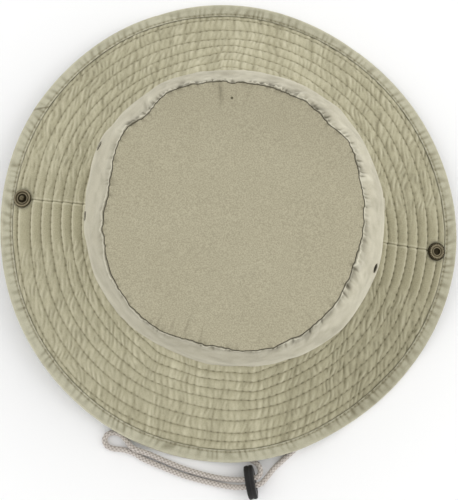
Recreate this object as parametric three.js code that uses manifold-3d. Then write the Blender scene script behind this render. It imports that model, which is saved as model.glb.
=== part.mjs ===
// A washed-cotton boonie hat with a row-stitched brim, resting on its brim, its chin cord laid out in front.
// The brim is a front and a back panel, seamed at the sides. The crown's wall is a left and a right panel.
// Millimetres, +Z up. +X runs through the right snap, and the cord comes out from under the brim at -Y.
// Angles are degrees counter-clockwise from +X, and a reach is a plan distance from the hat's upright axis.
import * as THREE from "three";
import { mergeVertices } from "three/addons/utils/BufferGeometryUtils.js";
import Module from "manifold-3d";

const wasm = await Module();
wasm.setup();

// Cloth
const CLOTH = 1.4;
const GAP = 0.3;
const SEGMENTS = 72;
const HALF_SPACE = 400;

// Where the upright axis stands, so that the brim's outline is centred on the origin
const AXIS_X = 0.29;
const AXIS_Y = 0.17;

// Brim: flat width from the crown seam to the bound edge, and the stitch rows after the first one,
// measured in from the edge
const BRIM_WIDTH = 79;
const SECOND_ROW = 20.5;
const ROW_PITCH = 7.9;
const ROW_COUNT = 9;
const BRIM_HALF = 0.6;
const RIB_RISE = 0.55;
const FIRST_RIB = 0.7;
const BRIM_EDGE_HALF = 0.5;
const NORMAL_STEP = 0.6;

// Binding tape folded round the edge
const BINDING_WIDTH = 9;
const BINDING_OUTER = 1.8;
const BINDING_INNER = 0.8;
const BINDING_NOSE = 1.1;
const BINDING_FOLD = 1.5;

// Crown
const TIP_LEVEL = 114;
const TIP_RISE = 1.5;
const TIP_OVERHANG = 0.5;
const FOLD_HEIGHT = 0.22;
const CURVE_STEPS = 40;

// Snaps and vent eyelets
const SNAP_INSET = 15.4;
const SNAP_RADIUS = 6.45;
const SNAP_POST = 2.1;
const SNAP_BACK = 4.6;
const SNAP_SIDES = 16;
const VENT_RADIUS = 4.4;
const VENT_RIM = 1.7;
const VENT_PROUD = 0.45;
const HOLE_SIDES = 12;
const HOLE_LENGTH = 12;

// Chin cord and its lock
const CORD_RADIUS = 1.95;
const CORD_SIDES = 8;
const CORD_STEPS = 80;
const LOCK_LENGTH = 24;
const LOCK_HEIGHT = 13;
const LOCK_DEPTH = 6.4;
const LOCK_HOLE = 2.3;
const LOCK_PITCH = 5.2;
const LOCK_ROUND = 1.6;
const LOCK_CENTRE = new THREE.Vector3(37.4, -175.8, 6.9);
const LOCK_TURN = THREE.MathUtils.degToRad(17);
const LOCK_LEAN = THREE.MathUtils.degToRad(10);

// The head opening, where the brim meets the crown
const opening = [
  { angle: 0, reach: 86, height: 38 },
  { angle: 52, reach: 91, height: 39 },
  { angle: 90, reach: 101, height: 40 },
  { angle: 142, reach: 93, height: 40 },
  { angle: 180, reach: 85.5, height: 40 },
  { angle: 232, reach: 93.5, height: 38 },
  { angle: 270, reach: 96.5, height: 36.5 },
  { angle: 322, reach: 93, height: 37 },
];

// The bound edge. A height below zero is where the floor flattens it.
const edge = [
  { angle: 0, reach: 161, height: 13 },
  { angle: 30, reach: 159, height: 7.5 },
  { angle: 55, reach: 159.6, height: 1.5 },
  { angle: 75, reach: 162.4, height: -3 },
  { angle: 92, reach: 165.5, height: -3.4 },
  { angle: 108, reach: 166.9, height: -2.6 },
  { angle: 125, reach: 166.2, height: 3.5 },
  { angle: 142, reach: 164.3, height: 10 },
  { angle: 163, reach: 162.9, height: 17 },
  { angle: 189, reach: 161.2, height: 21.5 },
  { angle: 210, reach: 162.3, height: 19.5 },
  { angle: 229, reach: 163.5, height: 12 },
  { angle: 241, reach: 164.4, height: 6.4 },
  { angle: 250, reach: 164.9, height: 4.9 },
  { angle: 257, reach: 165.2, height: 0.6 },
  { angle: 262, reach: 165.4, height: -1.8 },
  { angle: 268, reach: 165.5, height: -1.8 },
  { angle: 274, reach: 165.6, height: 2.8 },
  { angle: 281, reach: 165.5, height: 6.2 },
  { angle: 294, reach: 164, height: 6.2 },
  { angle: 304, reach: 162.4, height: 2.2 },
  { angle: 313, reach: 161.8, height: -2 },
  { angle: 326, reach: 161.8, height: -2 },
  { angle: 342, reach: 161.8, height: 6 },
];

// How the brim hangs. Flare is how much steeper it falls at the crown than on average: 0 is straight, and 1
// is level at the edge. The first row of stitching follows the binding, and is measured in from the edge.
const drape = [
  { angle: 0, flare: 0.15, firstRow: 14.4 },
  { angle: 52, flare: 0.4, firstRow: 12.8 },
  { angle: 90, flare: 0.55, firstRow: 12.8 },
  { angle: 142, flare: 0.4, firstRow: 12.6 },
  { angle: 180, flare: 0.35, firstRow: 13 },
  { angle: 232, flare: 0.85, firstRow: 12.4 },
  { angle: 270, flare: 0.85, firstRow: 15.4 },
  { angle: 322, flare: 0.65, firstRow: 13.8 },
];

// Low humps of the quilted cloth where it crowds against the crown
const humps = [
  { angle: 97, spread: 8, inset: 66, width: 22, rise: 1.6 },
  { angle: 287, spread: 7, inset: 56, width: 26, rise: 1.8 },
  { angle: 262, spread: 6, inset: 62, width: 20, rise: 1.1 },
];

// The side wall's widest line
const waist = [
  { angle: 0, reach: 104.6, height: 70 },
  { angle: 30, reach: 103.4, height: 72 },
  { angle: 46, reach: 103.6, height: 73 },
  { angle: 62, reach: 100.4, height: 74 },
  { angle: 95, reach: 97.4, height: 75 },
  { angle: 128, reach: 100.6, height: 74 },
  { angle: 160, reach: 99.6, height: 73 },
  { angle: 180, reach: 96.9, height: 72 },
  { angle: 210, reach: 99.2, height: 72 },
  { angle: 245, reach: 98.6, height: 70 },
  { angle: 278, reach: 100.2, height: 69 },
  { angle: 302, reach: 105, height: 69 },
  { angle: 328, reach: 107, height: 69 },
];

// The seam between the side wall and the tip
const seam = [
  { angle: 0, reach: 87, height: 112 },
  { angle: 22, reach: 85.8, height: 112.5 },
  { angle: 37, reach: 87.6, height: 113 },
  { angle: 45, reach: 83.6, height: 113.5 },
  { angle: 60, reach: 83.3, height: 114.5 },
  { angle: 95, reach: 79.8, height: 116 },
  { angle: 125, reach: 82.8, height: 116 },
  { angle: 140, reach: 80.2, height: 115 },
  { angle: 154, reach: 83.4, height: 115.5 },
  { angle: 180, reach: 78.3, height: 114.5 },
  { angle: 196, reach: 82.4, height: 114 },
  { angle: 232, reach: 90.8, height: 114 },
  { angle: 249, reach: 92.5, height: 113.5 },
  { angle: 262, reach: 90.8, height: 113.5 },
  { angle: 293, reach: 95.8, height: 113 },
  { angle: 325, reach: 92.4, height: 112 },
  { angle: 340, reach: 88.4, height: 112 },
];

// Folds that press the side wall in below the kinks of the seam
const wallFolds = [
  { angle: 43, spread: 5, depth: 2.6, level: 0.78 },
  { angle: 140, spread: 6, depth: 3, level: 0.8 },
  { angle: 222, spread: 9, depth: 2.2, level: 0.7 },
  { angle: 340, spread: 6, depth: 2, level: 0.8 },
];

const vents = [
  { name: "vent_left_back", angle: 160.3, level: 0.62 },
  { name: "vent_left_front", angle: 188.4, level: 0.58 },
  { name: "vent_right_back", angle: 11, level: 0.52 },
  { name: "vent_right_front", angle: 346, level: 0.6 },
];

// The cord's middle line: from the left of the head opening, on the floor under the brim, through the lock,
// round the loose end of its loop, back through the lock, and under the brim to the right.
const cordRoute = [
  [-88.3, 0, 37.1],
  [-87, -1.2, 27],
  [-87.2, -4.5, 15],
  [-88, -12, 5.4],
  [-88.6, -22, 2.5],
  [-87.6, -36, 2.2],
  [-80, -67, 2.2],
  [-56, -105, 2.2],
  [-20, -133, 2.2],
  [14, -149.6, 2.2],
  [31.5, -158.3, 2.2],
  [36.4, -160.6, 2.6],
  [40.6, -163, 4.2],
  [43, -167, 6.2],
  [42.2, -170.9, 7.3],
  [39.65, -172.39, 7.46],
  [33.63, -174.23, 6.34],
  [25, -175.6, 4],
  [12, -175.6, 2.3],
  [-9, -172.7, 2.2],
  [-25, -168.6, 2.2],
  [-35, -165.7, 2.6],
  [-41, -164.2, 4.2],
  [-46.4, -163.2, 5.4],
  [-50.4, -160.6, 4],
  [-54.6, -156.6, 2.4],
  [-58.6, -154.1, 2.2],
  [-63, -153.8, 2.2],
  [-66.9, -155.7, 2.2],
  [-68.3, -159.3, 2.2],
  [-66.6, -163, 2.2],
  [-62.6, -164.6, 2.2],
  [-54, -164.7, 2.2],
  [-46, -166.3, 2.2],
  [-40.2, -169, 2.2],
  [-26, -173.1, 2.2],
  [-10, -177.1, 2.2],
  [12, -180, 2.3],
  [26, -180.6, 4.2],
  [35.15, -179.21, 6.34],
  [41.17, -177.37, 7.46],
  [44.6, -175.6, 7],
  [48, -171.2, 5.6],
  [52, -164.9, 3.4],
  [57.6, -158.2, 2.2],
  [67, -147, 2.2],
  [79, -126, 2.2],
  [89, -90, 2.2],
  [92, -38, 2.2],
  [90.8, -24, 2.5],
  [89.2, -13, 5.4],
  [87.2, -4.6, 15],
  [86.8, -1.2, 26],
  [87.9, 0, 34.6],
];


const radians = THREE.MathUtils.degToRad;

// One column of a table at any angle, on a smooth closed curve through its rows
function around(rows, column, angle) {
  const turn = THREE.MathUtils.euclideanModulo(angle, 360);
  const here = rows.findLastIndex((row) => row.angle <= turn);
  const knot = (index) => {
    const wraps = Math.floor(index / rows.length);
    const row = rows[index - wraps * rows.length];
    return { at: row.angle + 360 * wraps, value: row[column] };
  };
  const [before, start, end, after] = [-1, 0, 1, 2].map((step) => knot(here + step));
  const span = end.at - start.at;
  const startSlope = ((end.value - before.value) / (end.at - before.at)) * span;
  const endSlope = ((after.value - start.value) / (after.at - start.at)) * span;
  const t = (turn - start.at) / span;
  const rest = 1 - t;
  return (
    start.value * rest * rest * (1 + 2 * t) +
    end.value * t * t * (3 - 2 * t) +
    startSlope * t * rest * rest -
    endSlope * t * t * rest
  );
}

// Signed difference of two angles, from -180 to 180
function turnBetween(angle, other) {
  return THREE.MathUtils.euclideanModulo(angle - other + 180, 360) - 180;
}

function bell(distance, spread) {
  return Math.exp(-((distance / spread) ** 2));
}

function atAngle(reach, angle, height) {
  const x = AXIS_X + reach * Math.cos(radians(angle));
  const y = AXIS_Y + reach * Math.sin(radians(angle));
  return new THREE.Vector3(x, y, height);
}

// A ring with a closed section: a lathe whose points are then moved to where each angle wants them.
function shapedRing(sectionAt) {
  const count = sectionAt(0).length;
  const blank = Array.from({ length: count + 1 }, (_, index) => new THREE.Vector2(1, index));
  const geometry = new THREE.LatheGeometry(blank, SEGMENTS);
  const position = geometry.getAttribute("position");
  for (let column = 0; column <= SEGMENTS; column += 1) {
    const section = sectionAt(((column % SEGMENTS) * 360) / SEGMENTS);
    for (let index = 0; index <= count; index += 1) {
      const point = section[index % count];
      position.setXYZ(column * (count + 1) + index, point.x, point.y, point.z);
    }
  }
  foldShortest(geometry, count + 1);
  return welded(geometry);
}

// Splits each four-sided patch along its shorter diagonal, so that two cloths face to face crease alike
function foldShortest(geometry, stride) {
  const position = geometry.getAttribute("position");
  const corner = (index) => new THREE.Vector3().fromBufferAttribute(position, index);
  const faces = [];
  for (let column = 0; column < SEGMENTS; column += 1) {
    for (let index = 0; index < stride - 1; index += 1) {
      const a = column * stride + index;
      const [b, c, d] = [a + stride, a + stride + 1, a + 1];
      const shorter = corner(a).distanceTo(corner(c)) < corner(b).distanceTo(corner(d));
      faces.push(...(shorter ? [a, b, c, a, c, d] : [a, b, d, c, d, b]));
    }
  }
  geometry.setIndex(faces);
}

// Only the places are kept, and points that meet become one
function welded(geometry) {
  const bare = geometry.clone();
  bare.deleteAttribute("normal");
  bare.deleteAttribute("uv");
  return mergeVertices(bare, 1e-4);
}

function solidOf(geometry) {
  const closed = welded(geometry);
  return new wasm.Manifold(
    new wasm.Mesh({
      numProp: 3,
      vertProperties: new Float32Array(closed.getAttribute("position").array),
      triVerts: new Uint32Array(closed.getIndex().array),
    }),
  );
}

function geometryOf(solid) {
  const { vertProperties, triVerts } = solid.getMesh();
  const geometry = new THREE.BufferGeometry();
  geometry.setAttribute("position", new THREE.BufferAttribute(vertProperties, 3));
  geometry.setIndex(new THREE.BufferAttribute(triVerts, 1));
  return geometry;
}

// Cuts a round hole along the local Y axis of each given frame
function drilled(geometry, frames, radius, length, sides) {
  let solid = solidOf(geometry);
  for (const frame of frames) {
    const drill = new THREE.CylinderGeometry(radius, radius, length, sides);
    solid = solid.subtract(solidOf(drill.applyMatrix4(frame)));
  }
  return geometryOf(solid);
}

// The panel of a ring on one side of an upright plane through the hat's axis, just short of the seam there
function panelOf(geometry, x, y) {
  const reach = (HALF_SPACE + GAP) / 2;
  const side = new THREE.BoxGeometry(HALF_SPACE, HALF_SPACE, HALF_SPACE);
  side.translate(AXIS_X + x * reach, AXIS_Y + y * reach, 0);
  return geometryOf(solidOf(geometry).intersect(solidOf(side)));
}

// A frame at a point, with its Y axis along the given direction
function frameAt(point, direction) {
  const turn = new THREE.Quaternion().setFromUnitVectors(new THREE.Vector3(0, 1, 0), direction);
  return new THREE.Matrix4().compose(point, turn, new THREE.Vector3(1, 1, 1));
}

// The middle of the brim's cloth, at a flat distance in from the bound edge
function brimMiddle(angle, inset) {
  const inner = new THREE.Vector2(around(opening, "reach", angle), around(opening, "height", angle));
  const outer = new THREE.Vector2(
    around(edge, "reach", angle),
    around(edge, "height", angle) + BINDING_OUTER,
  );
  const drop = inner.y - outer.y;
  const pull = new THREE.Vector2(
    (inner.x + outer.x) / 2,
    inner.y - (drop * (1 + around(drape, "flare", angle))) / 2,
  );
  const section = new THREE.QuadraticBezierCurve(inner, pull, outer);
  section.arcLengthDivisions = CURVE_STEPS;
  const spot = section.getPointAt(1 - inset / BRIM_WIDTH);
  const hump = humps.reduce((sum, each) => {
    const side = bell(turnBetween(angle, each.angle), each.spread);
    return sum + each.rise * side * bell(inset - each.inset, each.width / 2);
  }, 0);
  return atAngle(spot.x, angle, Math.max(spot.y + hump, BINDING_OUTER));
}

function brimNormal(angle, inset) {
  const further = Math.min(inset + NORMAL_STEP, BRIM_WIDTH);
  const nearer = Math.max(inset - NORMAL_STEP, 0);
  const outward = brimMiddle(angle, nearer).sub(brimMiddle(angle, further));
  const onward = brimMiddle(angle + NORMAL_STEP, inset).sub(brimMiddle(angle - NORMAL_STEP, inset));
  return outward.cross(onward).normalize();
}

function brimPoint(angle, inset, lift) {
  return brimMiddle(angle, inset).addScaledVector(brimNormal(angle, inset), lift);
}

function brimFrame(angle) {
  return frameAt(brimMiddle(angle, SNAP_INSET), brimNormal(angle, SNAP_INSET));
}

function stitchRows(angle) {
  const rest = Array.from({ length: ROW_COUNT - 1 }, (_, index) => SECOND_ROW + ROW_PITCH * index);
  return [around(drape, "firstRow", angle), ...rest];
}

// The quilted brim's section: a groove at each row of stitching, a rib between each two, a plain underside
function brimSection(angle) {
  const rows = stitchRows(angle);
  const outerEnd = BINDING_FOLD + GAP;
  const top = [
    [outerEnd, BRIM_EDGE_HALF],
    [BINDING_WIDTH, BRIM_EDGE_HALF],
    [(BINDING_WIDTH + rows[0]) / 2, BRIM_HALF + RIB_RISE * FIRST_RIB],
  ];
  rows.forEach((row, index) => {
    top.push([row, BRIM_HALF]);
    if (index < rows.length - 1) {
      top.push([(row + rows[index + 1]) / 2, BRIM_HALF + RIB_RISE]);
    }
  });
  const under = rows.filter((_, index) => index % 2 === 1).map((row) => [row, -BRIM_HALF]).reverse();
  return [
    ...top,
    [BRIM_WIDTH, BRIM_HALF],
    [BRIM_WIDTH, -BRIM_HALF],
    ...under,
    [BINDING_WIDTH, -BRIM_EDGE_HALF],
    [outerEnd, -BRIM_EDGE_HALF],
  ];
}

function buildBrim() {
  const cloth = shapedRing((angle) => {
    return brimSection(angle).map(([inset, lift]) => brimPoint(angle, inset, lift));
  });
  return drilled(cloth, [brimFrame(0), brimFrame(180)], SNAP_POST + GAP, HOLE_LENGTH, HOLE_SIDES);
}

// The tape: folded round the brim's cut edge, and open towards the crown
function buildBinding() {
  const section = [
    [BINDING_WIDTH, BINDING_INNER],
    [BINDING_FOLD, BINDING_INNER],
    [BINDING_FOLD, -BINDING_INNER],
    [BINDING_WIDTH, -BINDING_INNER],
    [BINDING_WIDTH, -BINDING_OUTER],
    [BINDING_NOSE, -BINDING_OUTER],
    [0, 0],
    [BINDING_NOSE, BINDING_OUTER],
    [BINDING_WIDTH, BINDING_OUTER],
  ];
  return shapedRing((angle) => section.map(([inset, lift]) => brimPoint(angle, inset, lift)));
}

// The outside of the side wall at one angle, from the brim up to the seam
function wallSection(angle) {
  const foot = brimPoint(angle, BRIM_WIDTH - GAP - CLOTH, BRIM_HALF + GAP);
  const footReach = Math.hypot(foot.x - AXIS_X, foot.y - AXIS_Y);
  const middle = new THREE.Vector2(around(waist, "reach", angle), around(waist, "height", angle));
  const head = new THREE.Vector2(
    around(seam, "reach", angle),
    around(seam, "height", angle) - CLOTH - GAP,
  );
  const curve = new THREE.SplineCurve([new THREE.Vector2(footReach, foot.z), middle, head]);
  curve.arcLengthDivisions = CURVE_STEPS;
  return curve;
}

function wallDent(angle, level) {
  return wallFolds.reduce((sum, fold) => {
    const side = bell(turnBetween(angle, fold.angle), fold.spread);
    return sum + fold.depth * side * bell(level - fold.level, FOLD_HEIGHT);
  }, 0);
}

// A point of the wall: level runs from 0 at the brim to 1 at the seam, depth goes into the cloth
function wallPoint(angle, level, depth) {
  const curve = wallSection(angle);
  const spot = curve.getPointAt(level);
  const along = curve.getTangentAt(level);
  const inward = level < 1 ? new THREE.Vector2(-along.y, along.x) : new THREE.Vector2(-1, 0);
  spot.addScaledVector(inward, depth);
  const loose = Math.sin(Math.PI * level);
  return atAngle(spot.x - wallDent(angle, level) * loose, angle, spot.y);
}

function wallFrame(vent) {
  const outside = wallPoint(vent.angle, vent.level, 0);
  const inside = wallPoint(vent.angle, vent.level, CLOTH);
  const middle = outside.clone().lerp(inside, 0.5);
  return frameAt(middle, outside.sub(inside).normalize());
}

function buildWall() {
  const outer = [0, 0.18, 0.36, 0.54, 0.7, 0.86, 1];
  const inner = [1, 0.86, 0.7, 0.45, 0.2];
  const geometry = shapedRing((angle) => {
    const outside = outer.map((level) => wallPoint(angle, level, 0));
    const inside = inner.map((level) => wallPoint(angle, level, CLOTH));
    const heel = brimPoint(angle, BRIM_WIDTH - GAP, BRIM_HALF + GAP);
    return [...outside, ...inside, heel];
  });
  return drilled(geometry, vents.map(wallFrame), VENT_RADIUS + GAP, HOLE_LENGTH, HOLE_SIDES);
}

// The tip: a shallow cap of cloth over the wall's top edge
function buildTip() {
  const rim = (angle, share, sink) => {
    const reach = (around(seam, "reach", angle) + TIP_OVERHANG) * share;
    const crown = TIP_RISE * (1 - share * share);
    const level = THREE.MathUtils.lerp(TIP_LEVEL, around(seam, "height", angle), share);
    return atAngle(reach, angle, level + crown - sink);
  };
  return shapedRing((angle) => [
    rim(angle, 0.8, CLOTH),
    rim(angle, 1, CLOTH),
    rim(angle, 1, 0),
    rim(angle, 0.8, 0),
    rim(angle, 0.45, 0),
    rim(angle, 0, 0),
    rim(angle, 0, CLOTH),
  ]);
}

// A snap half: a cap above the brim, a post through it and a flat back below it, turned about Y
function buildSnap(face, frame) {
  const above = BRIM_HALF + RIB_RISE + GAP;
  const below = -BRIM_HALF - GAP;
  const profile = [
    [0, below - 1],
    [SNAP_BACK, below - 1],
    [SNAP_BACK, below],
    [SNAP_POST, below],
    [SNAP_POST, above],
    [SNAP_RADIUS - 0.4, above],
    [SNAP_RADIUS, above + 0.5],
    ...face.map(([radius, rise]) => [radius, above + rise]),
  ].map(([radius, height]) => new THREE.Vector2(radius, height));
  return new THREE.LatheGeometry(profile, SNAP_SIDES).applyMatrix4(frame);
}

const studFace = [
  [5.4, 1.6],
  [4, 1.1],
  [2.6, 1],
  [1.9, 2.6],
  [0, 2.9],
];

const socketFace = [
  [5.2, 1.9],
  [3.6, 1.6],
  [2.3, 1.2],
  [2.3, 0.6],
  [0, 0.6],
];

// A stitched eyelet: a round rim a little thicker than the wall, turned about Y
function buildEyelet(vent) {
  const half = CLOTH / 2 + VENT_PROUD;
  const profile = [
    [VENT_RADIUS, -half + 0.5],
    [VENT_RADIUS, half - 0.5],
    [VENT_RADIUS - VENT_RIM / 2, half],
    [VENT_RADIUS - VENT_RIM, half - 0.6],
    [VENT_RADIUS - VENT_RIM, -half + 0.6],
    [VENT_RADIUS - VENT_RIM / 2, -half],
    [VENT_RADIUS, -half + 0.5],
  ].map(([radius, height]) => new THREE.Vector2(radius, height));
  return new THREE.LatheGeometry(profile, HOLE_SIDES).applyMatrix4(wallFrame(vent));
}

// Steps follow the route's points, so that the bends, where the points are close, get more of them
class CordCurve extends THREE.CatmullRomCurve3 {
  getUtoTmapping(share) {
    return share;
  }
}

function buildCord() {
  const points = cordRoute.map(([x, y, z]) => new THREE.Vector3(x, y, z));
  const sides = Array.from({ length: CORD_SIDES }, (_, index) => {
    const turn = ((index + 0.5) * 2 * Math.PI) / CORD_SIDES;
    return new THREE.Vector2(CORD_RADIUS * Math.cos(turn), CORD_RADIUS * Math.sin(turn));
  });
  return new THREE.ExtrudeGeometry(new THREE.Shape(sides), {
    steps: CORD_STEPS,
    extrudePath: new CordCurve(points, false, "centripetal"),
  });
}

// The cord lock: an oval button, with two holes side by side through its thickness for the two strands
function buildLock() {
  const outline = new THREE.Shape();
  outline.absellipse(0, 0, LOCK_LENGTH / 2 - LOCK_ROUND, LOCK_HEIGHT / 2 - LOCK_ROUND, 0, 2 * Math.PI);
  const button = new THREE.ExtrudeGeometry(outline, {
    depth: LOCK_DEPTH - 2 * LOCK_ROUND,
    bevelThickness: LOCK_ROUND,
    bevelSize: LOCK_ROUND,
    bevelSegments: 2,
    curveSegments: 12,
  }).translate(0, 0, LOCK_ROUND - LOCK_DEPTH / 2);
  const through = new THREE.Vector3(0, 0, 1);
  const holes = [-1, 1].map((side) => frameAt(new THREE.Vector3((side * LOCK_PITCH) / 2, 0, 0), through));
  return drilled(button, holes, LOCK_HOLE, LOCK_DEPTH * 2, 10);
}

const cotton = { color: 0xbab495, roughness: 0.95 };
const fadedCotton = { color: 0xcdc6b2, roughness: 0.95 };
const brimCotton = { color: 0xb4ae8e, roughness: 0.95 };
const wall = buildWall();
const brim = buildBrim();
const pieces = {
  crown_top: { geometry: buildTip(), look: cotton },
  crown_side_left: { geometry: panelOf(wall, -1, 0), look: fadedCotton },
  crown_side_right: { geometry: panelOf(wall, 1, 0), look: fadedCotton },
  brim_front: { geometry: panelOf(brim, 0, -1), look: brimCotton },
  brim_back: { geometry: panelOf(brim, 0, 1), look: brimCotton },
  brim_binding: { geometry: buildBinding(), look: { color: 0xbbb9a0, roughness: 0.95 } },
  snap_left: { geometry: buildSnap(studFace, brimFrame(180)), look: { color: 0x6e6244, metalness: 0.9 } },
  snap_right: { geometry: buildSnap(socketFace, brimFrame(0)), look: { color: 0x6e6244, metalness: 0.9 } },
  chin_cord: { geometry: buildCord(), look: { color: 0xccc4ba, roughness: 0.95 } },
  cord_toggle: { geometry: buildLock(), look: { color: 0x1e1b1c, roughness: 0.4 } },
};
for (const vent of vents) {
  pieces[vent.name] = { geometry: buildEyelet(vent), look: { color: 0xd2ccb4, roughness: 0.9 } };
}

const hat = new THREE.Group();
for (const [name, { geometry, look }] of Object.entries(pieces)) {
  const mesh = new THREE.Mesh(geometry, new THREE.MeshStandardMaterial(look));
  mesh.name = name;
  hat.add(mesh);
}

// The lock stands with its holes along the strands, leaning a little to the left
const lock = hat.getObjectByName("cord_toggle");
const lengthways = new THREE.Vector3(Math.sin(LOCK_TURN), -Math.cos(LOCK_TURN), 0);
const through = new THREE.Vector3(Math.cos(LOCK_TURN), Math.sin(LOCK_TURN), 0);
through.applyAxisAngle(lengthways, LOCK_LEAN);
lock.quaternion.setFromRotationMatrix(
  new THREE.Matrix4().makeBasis(lengthways, through.clone().cross(lengthways), through),
);
lock.position.copy(LOCK_CENTRE);

export default hat;
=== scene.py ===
# A washed-cotton boonie hat lying on its brim: cloth, stitching, snaps, eyelets, chin cord and lock.
# Metres, +Z up. Angles are degrees counter-clockwise from +X round the hat's upright axis.
import math

import bmesh
import bpy
import numpy as np
from mathutils import Euler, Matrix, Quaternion, Vector


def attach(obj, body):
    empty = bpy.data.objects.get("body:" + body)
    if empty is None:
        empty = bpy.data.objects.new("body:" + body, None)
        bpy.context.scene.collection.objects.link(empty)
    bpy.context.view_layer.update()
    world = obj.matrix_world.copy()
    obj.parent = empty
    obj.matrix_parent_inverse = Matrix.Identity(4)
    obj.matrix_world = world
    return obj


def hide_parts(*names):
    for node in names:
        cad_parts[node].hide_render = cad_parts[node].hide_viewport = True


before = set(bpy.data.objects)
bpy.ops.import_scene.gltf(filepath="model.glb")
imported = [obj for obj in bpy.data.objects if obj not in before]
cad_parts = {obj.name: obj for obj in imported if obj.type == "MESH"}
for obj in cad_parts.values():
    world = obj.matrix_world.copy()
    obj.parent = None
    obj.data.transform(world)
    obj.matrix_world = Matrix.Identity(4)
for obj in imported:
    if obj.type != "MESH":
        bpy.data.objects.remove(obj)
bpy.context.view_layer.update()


class Nodes:
    # short words for building a node tree
    def __init__(self, tree):
        self.tree = tree

    def feed(self, socket, value):
        if isinstance(value, bpy.types.NodeSocket):
            self.tree.links.new(value, socket)
        else:
            # a colour may leave out its alpha
            socket.default_value = (*value, 1) if socket.type == "RGBA" and len(value) == 3 else value

    def dress(self, node, inputs):
        for key, value in inputs.items():
            self.feed(node.inputs[key], value)
        return node

    def add(self, kind, inputs=None, **settings):
        node = self.tree.nodes.new(kind)
        for key, value in settings.items():
            setattr(node, key, value)
        return self.dress(node, inputs or {})

    def maths(self, operation, *values, clamp=False):
        inputs = dict(enumerate(values))
        return self.add("ShaderNodeMath", inputs, operation=operation, use_clamp=clamp).outputs[0]

    def plus(self, a, b, clamp=False):
        return self.maths("ADD", a, b, clamp=clamp)

    def minus(self, a, b):
        return self.maths("SUBTRACT", a, b)

    def times(self, a, b, clamp=False):
        return self.maths("MULTIPLY", a, b, clamp=clamp)

    def mix(self, factor, a, b):
        node = self.add("ShaderNodeMix", data_type="RGBA")
        return self.dress(node, {"Factor": factor, 6: a, 7: b}).outputs[2]

    def noise(self, place, scale, detail=2.0, roughness=0.5):
        inputs = {"Vector": place, "Scale": scale, "Detail": detail, "Roughness": roughness}
        return self.add("ShaderNodeTexNoise", inputs).outputs[0]

    def bump(self, height, strength, distance, **more):
        inputs = {"Height": height, "Strength": strength, "Distance": distance, **more}
        return self.add("ShaderNodeBump", inputs).outputs[0]

    def read(self, name, output="Fac"):
        return self.add("ShaderNodeAttribute", attribute_name=name).outputs[output]

    def parts(self, vector):
        return self.add("ShaderNodeSeparateXYZ", {0: vector}).outputs

    def use(self, group, inputs):
        return self.add("ShaderNodeGroup", inputs, node_tree=group).outputs


def startMaterial(name):
    material = bpy.data.materials.new(name)
    material.use_nodes = True
    return material, Nodes(material.node_tree), material.node_tree.nodes["Principled BSDF"]


def addObject(name, data):
    thing = bpy.data.objects.new(name, data)
    bpy.context.scene.collection.objects.link(thing)
    return thing


cameraSetup = {
    "aim": (0.00163, -0.01438, 0.0),
    "distance": 1.03,
    "elevation": 82.5,
    "turn": 7.2,
    "lens": 103.25,
}

lightSetup = {
    "overhead": 0.62,  # sky brightness straight up
    "horizon": 1.95,
    "towardRight": 0.07,  # how much brighter the sky is on the +X side
    "towardBack": 0.1,
    "lampPlace": (0.9, 0.55, 1.1),
    "lampSize": 0.9,
    "lampPower": 2.0,
    "floorReach": 6.0,
    "floorTone": 0.95,
}


def makeCamera(setup):
    facing = Euler((math.radians(90 - setup["elevation"]), 0, math.radians(setup["turn"])))
    camera = addObject("camera", bpy.data.cameras.new("camera"))
    camera.data.lens = setup["lens"]
    camera.location = Vector(setup["aim"]) + facing.to_matrix() @ Vector((0, 0, setup["distance"]))
    camera.rotation_euler = facing
    bpy.context.scene.camera = camera


def makeSky(setup):
    # a soft white dome, brighter low down than overhead
    world = bpy.data.worlds.new("studio")
    world.use_nodes = True
    nodes = Nodes(world.node_tree)
    way = nodes.parts(nodes.add("ShaderNodeTexCoord").outputs["Generated"])
    low = nodes.minus(1.0, nodes.maths("MAXIMUM", way["Z"], 0.0))
    glow = nodes.maths("MULTIPLY_ADD", low, setup["horizon"] - setup["overhead"], setup["overhead"])
    glow = nodes.plus(glow, nodes.times(way["X"], setup["towardRight"]))
    glow = nodes.plus(glow, nodes.times(way["Y"], setup["towardBack"]))
    nodes.dress(world.node_tree.nodes["Background"], {"Color": (1, 1, 1), "Strength": glow})
    bpy.context.scene.world = world


def makeLamp(setup):
    lamp = addObject("softbox", bpy.data.lights.new("softbox", "AREA"))
    lamp.data.size = setup["lampSize"]
    lamp.data.energy = setup["lampPower"]
    lamp.location = setup["lampPlace"]
    lamp.rotation_euler = (-lamp.location).to_track_quat("-Z", "Y").to_euler()


def makeFloor(setup):
    reach = setup["floorReach"]
    floor = addObject("floor", bpy.data.meshes.new("floor"))
    corners = [(-reach, -reach, 0), (reach, -reach, 0), (reach, reach, 0), (-reach, reach, 0)]
    floor.data.from_pydata(corners, [], [(0, 1, 2, 3)])
    material, nodes, shader = startMaterial("paleFloor")
    nodes.dress(shader, {"Base Color": (setup["floorTone"],) * 3, "Roughness": 0.9})
    floor.data.materials.append(material)


bpy.context.scene.view_settings.view_transform = "Standard"
makeCamera(cameraSetup)
makeSky(lightSetup)
makeLamp(lightSetup)
makeFloor(lightSetup)
print("camera, light and floor are set")

axis = (0.00029, 0.00017)  # where the hat's upright axis stands
ringRadius = 0.09  # the middle size of the rings that noise runs round

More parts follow.
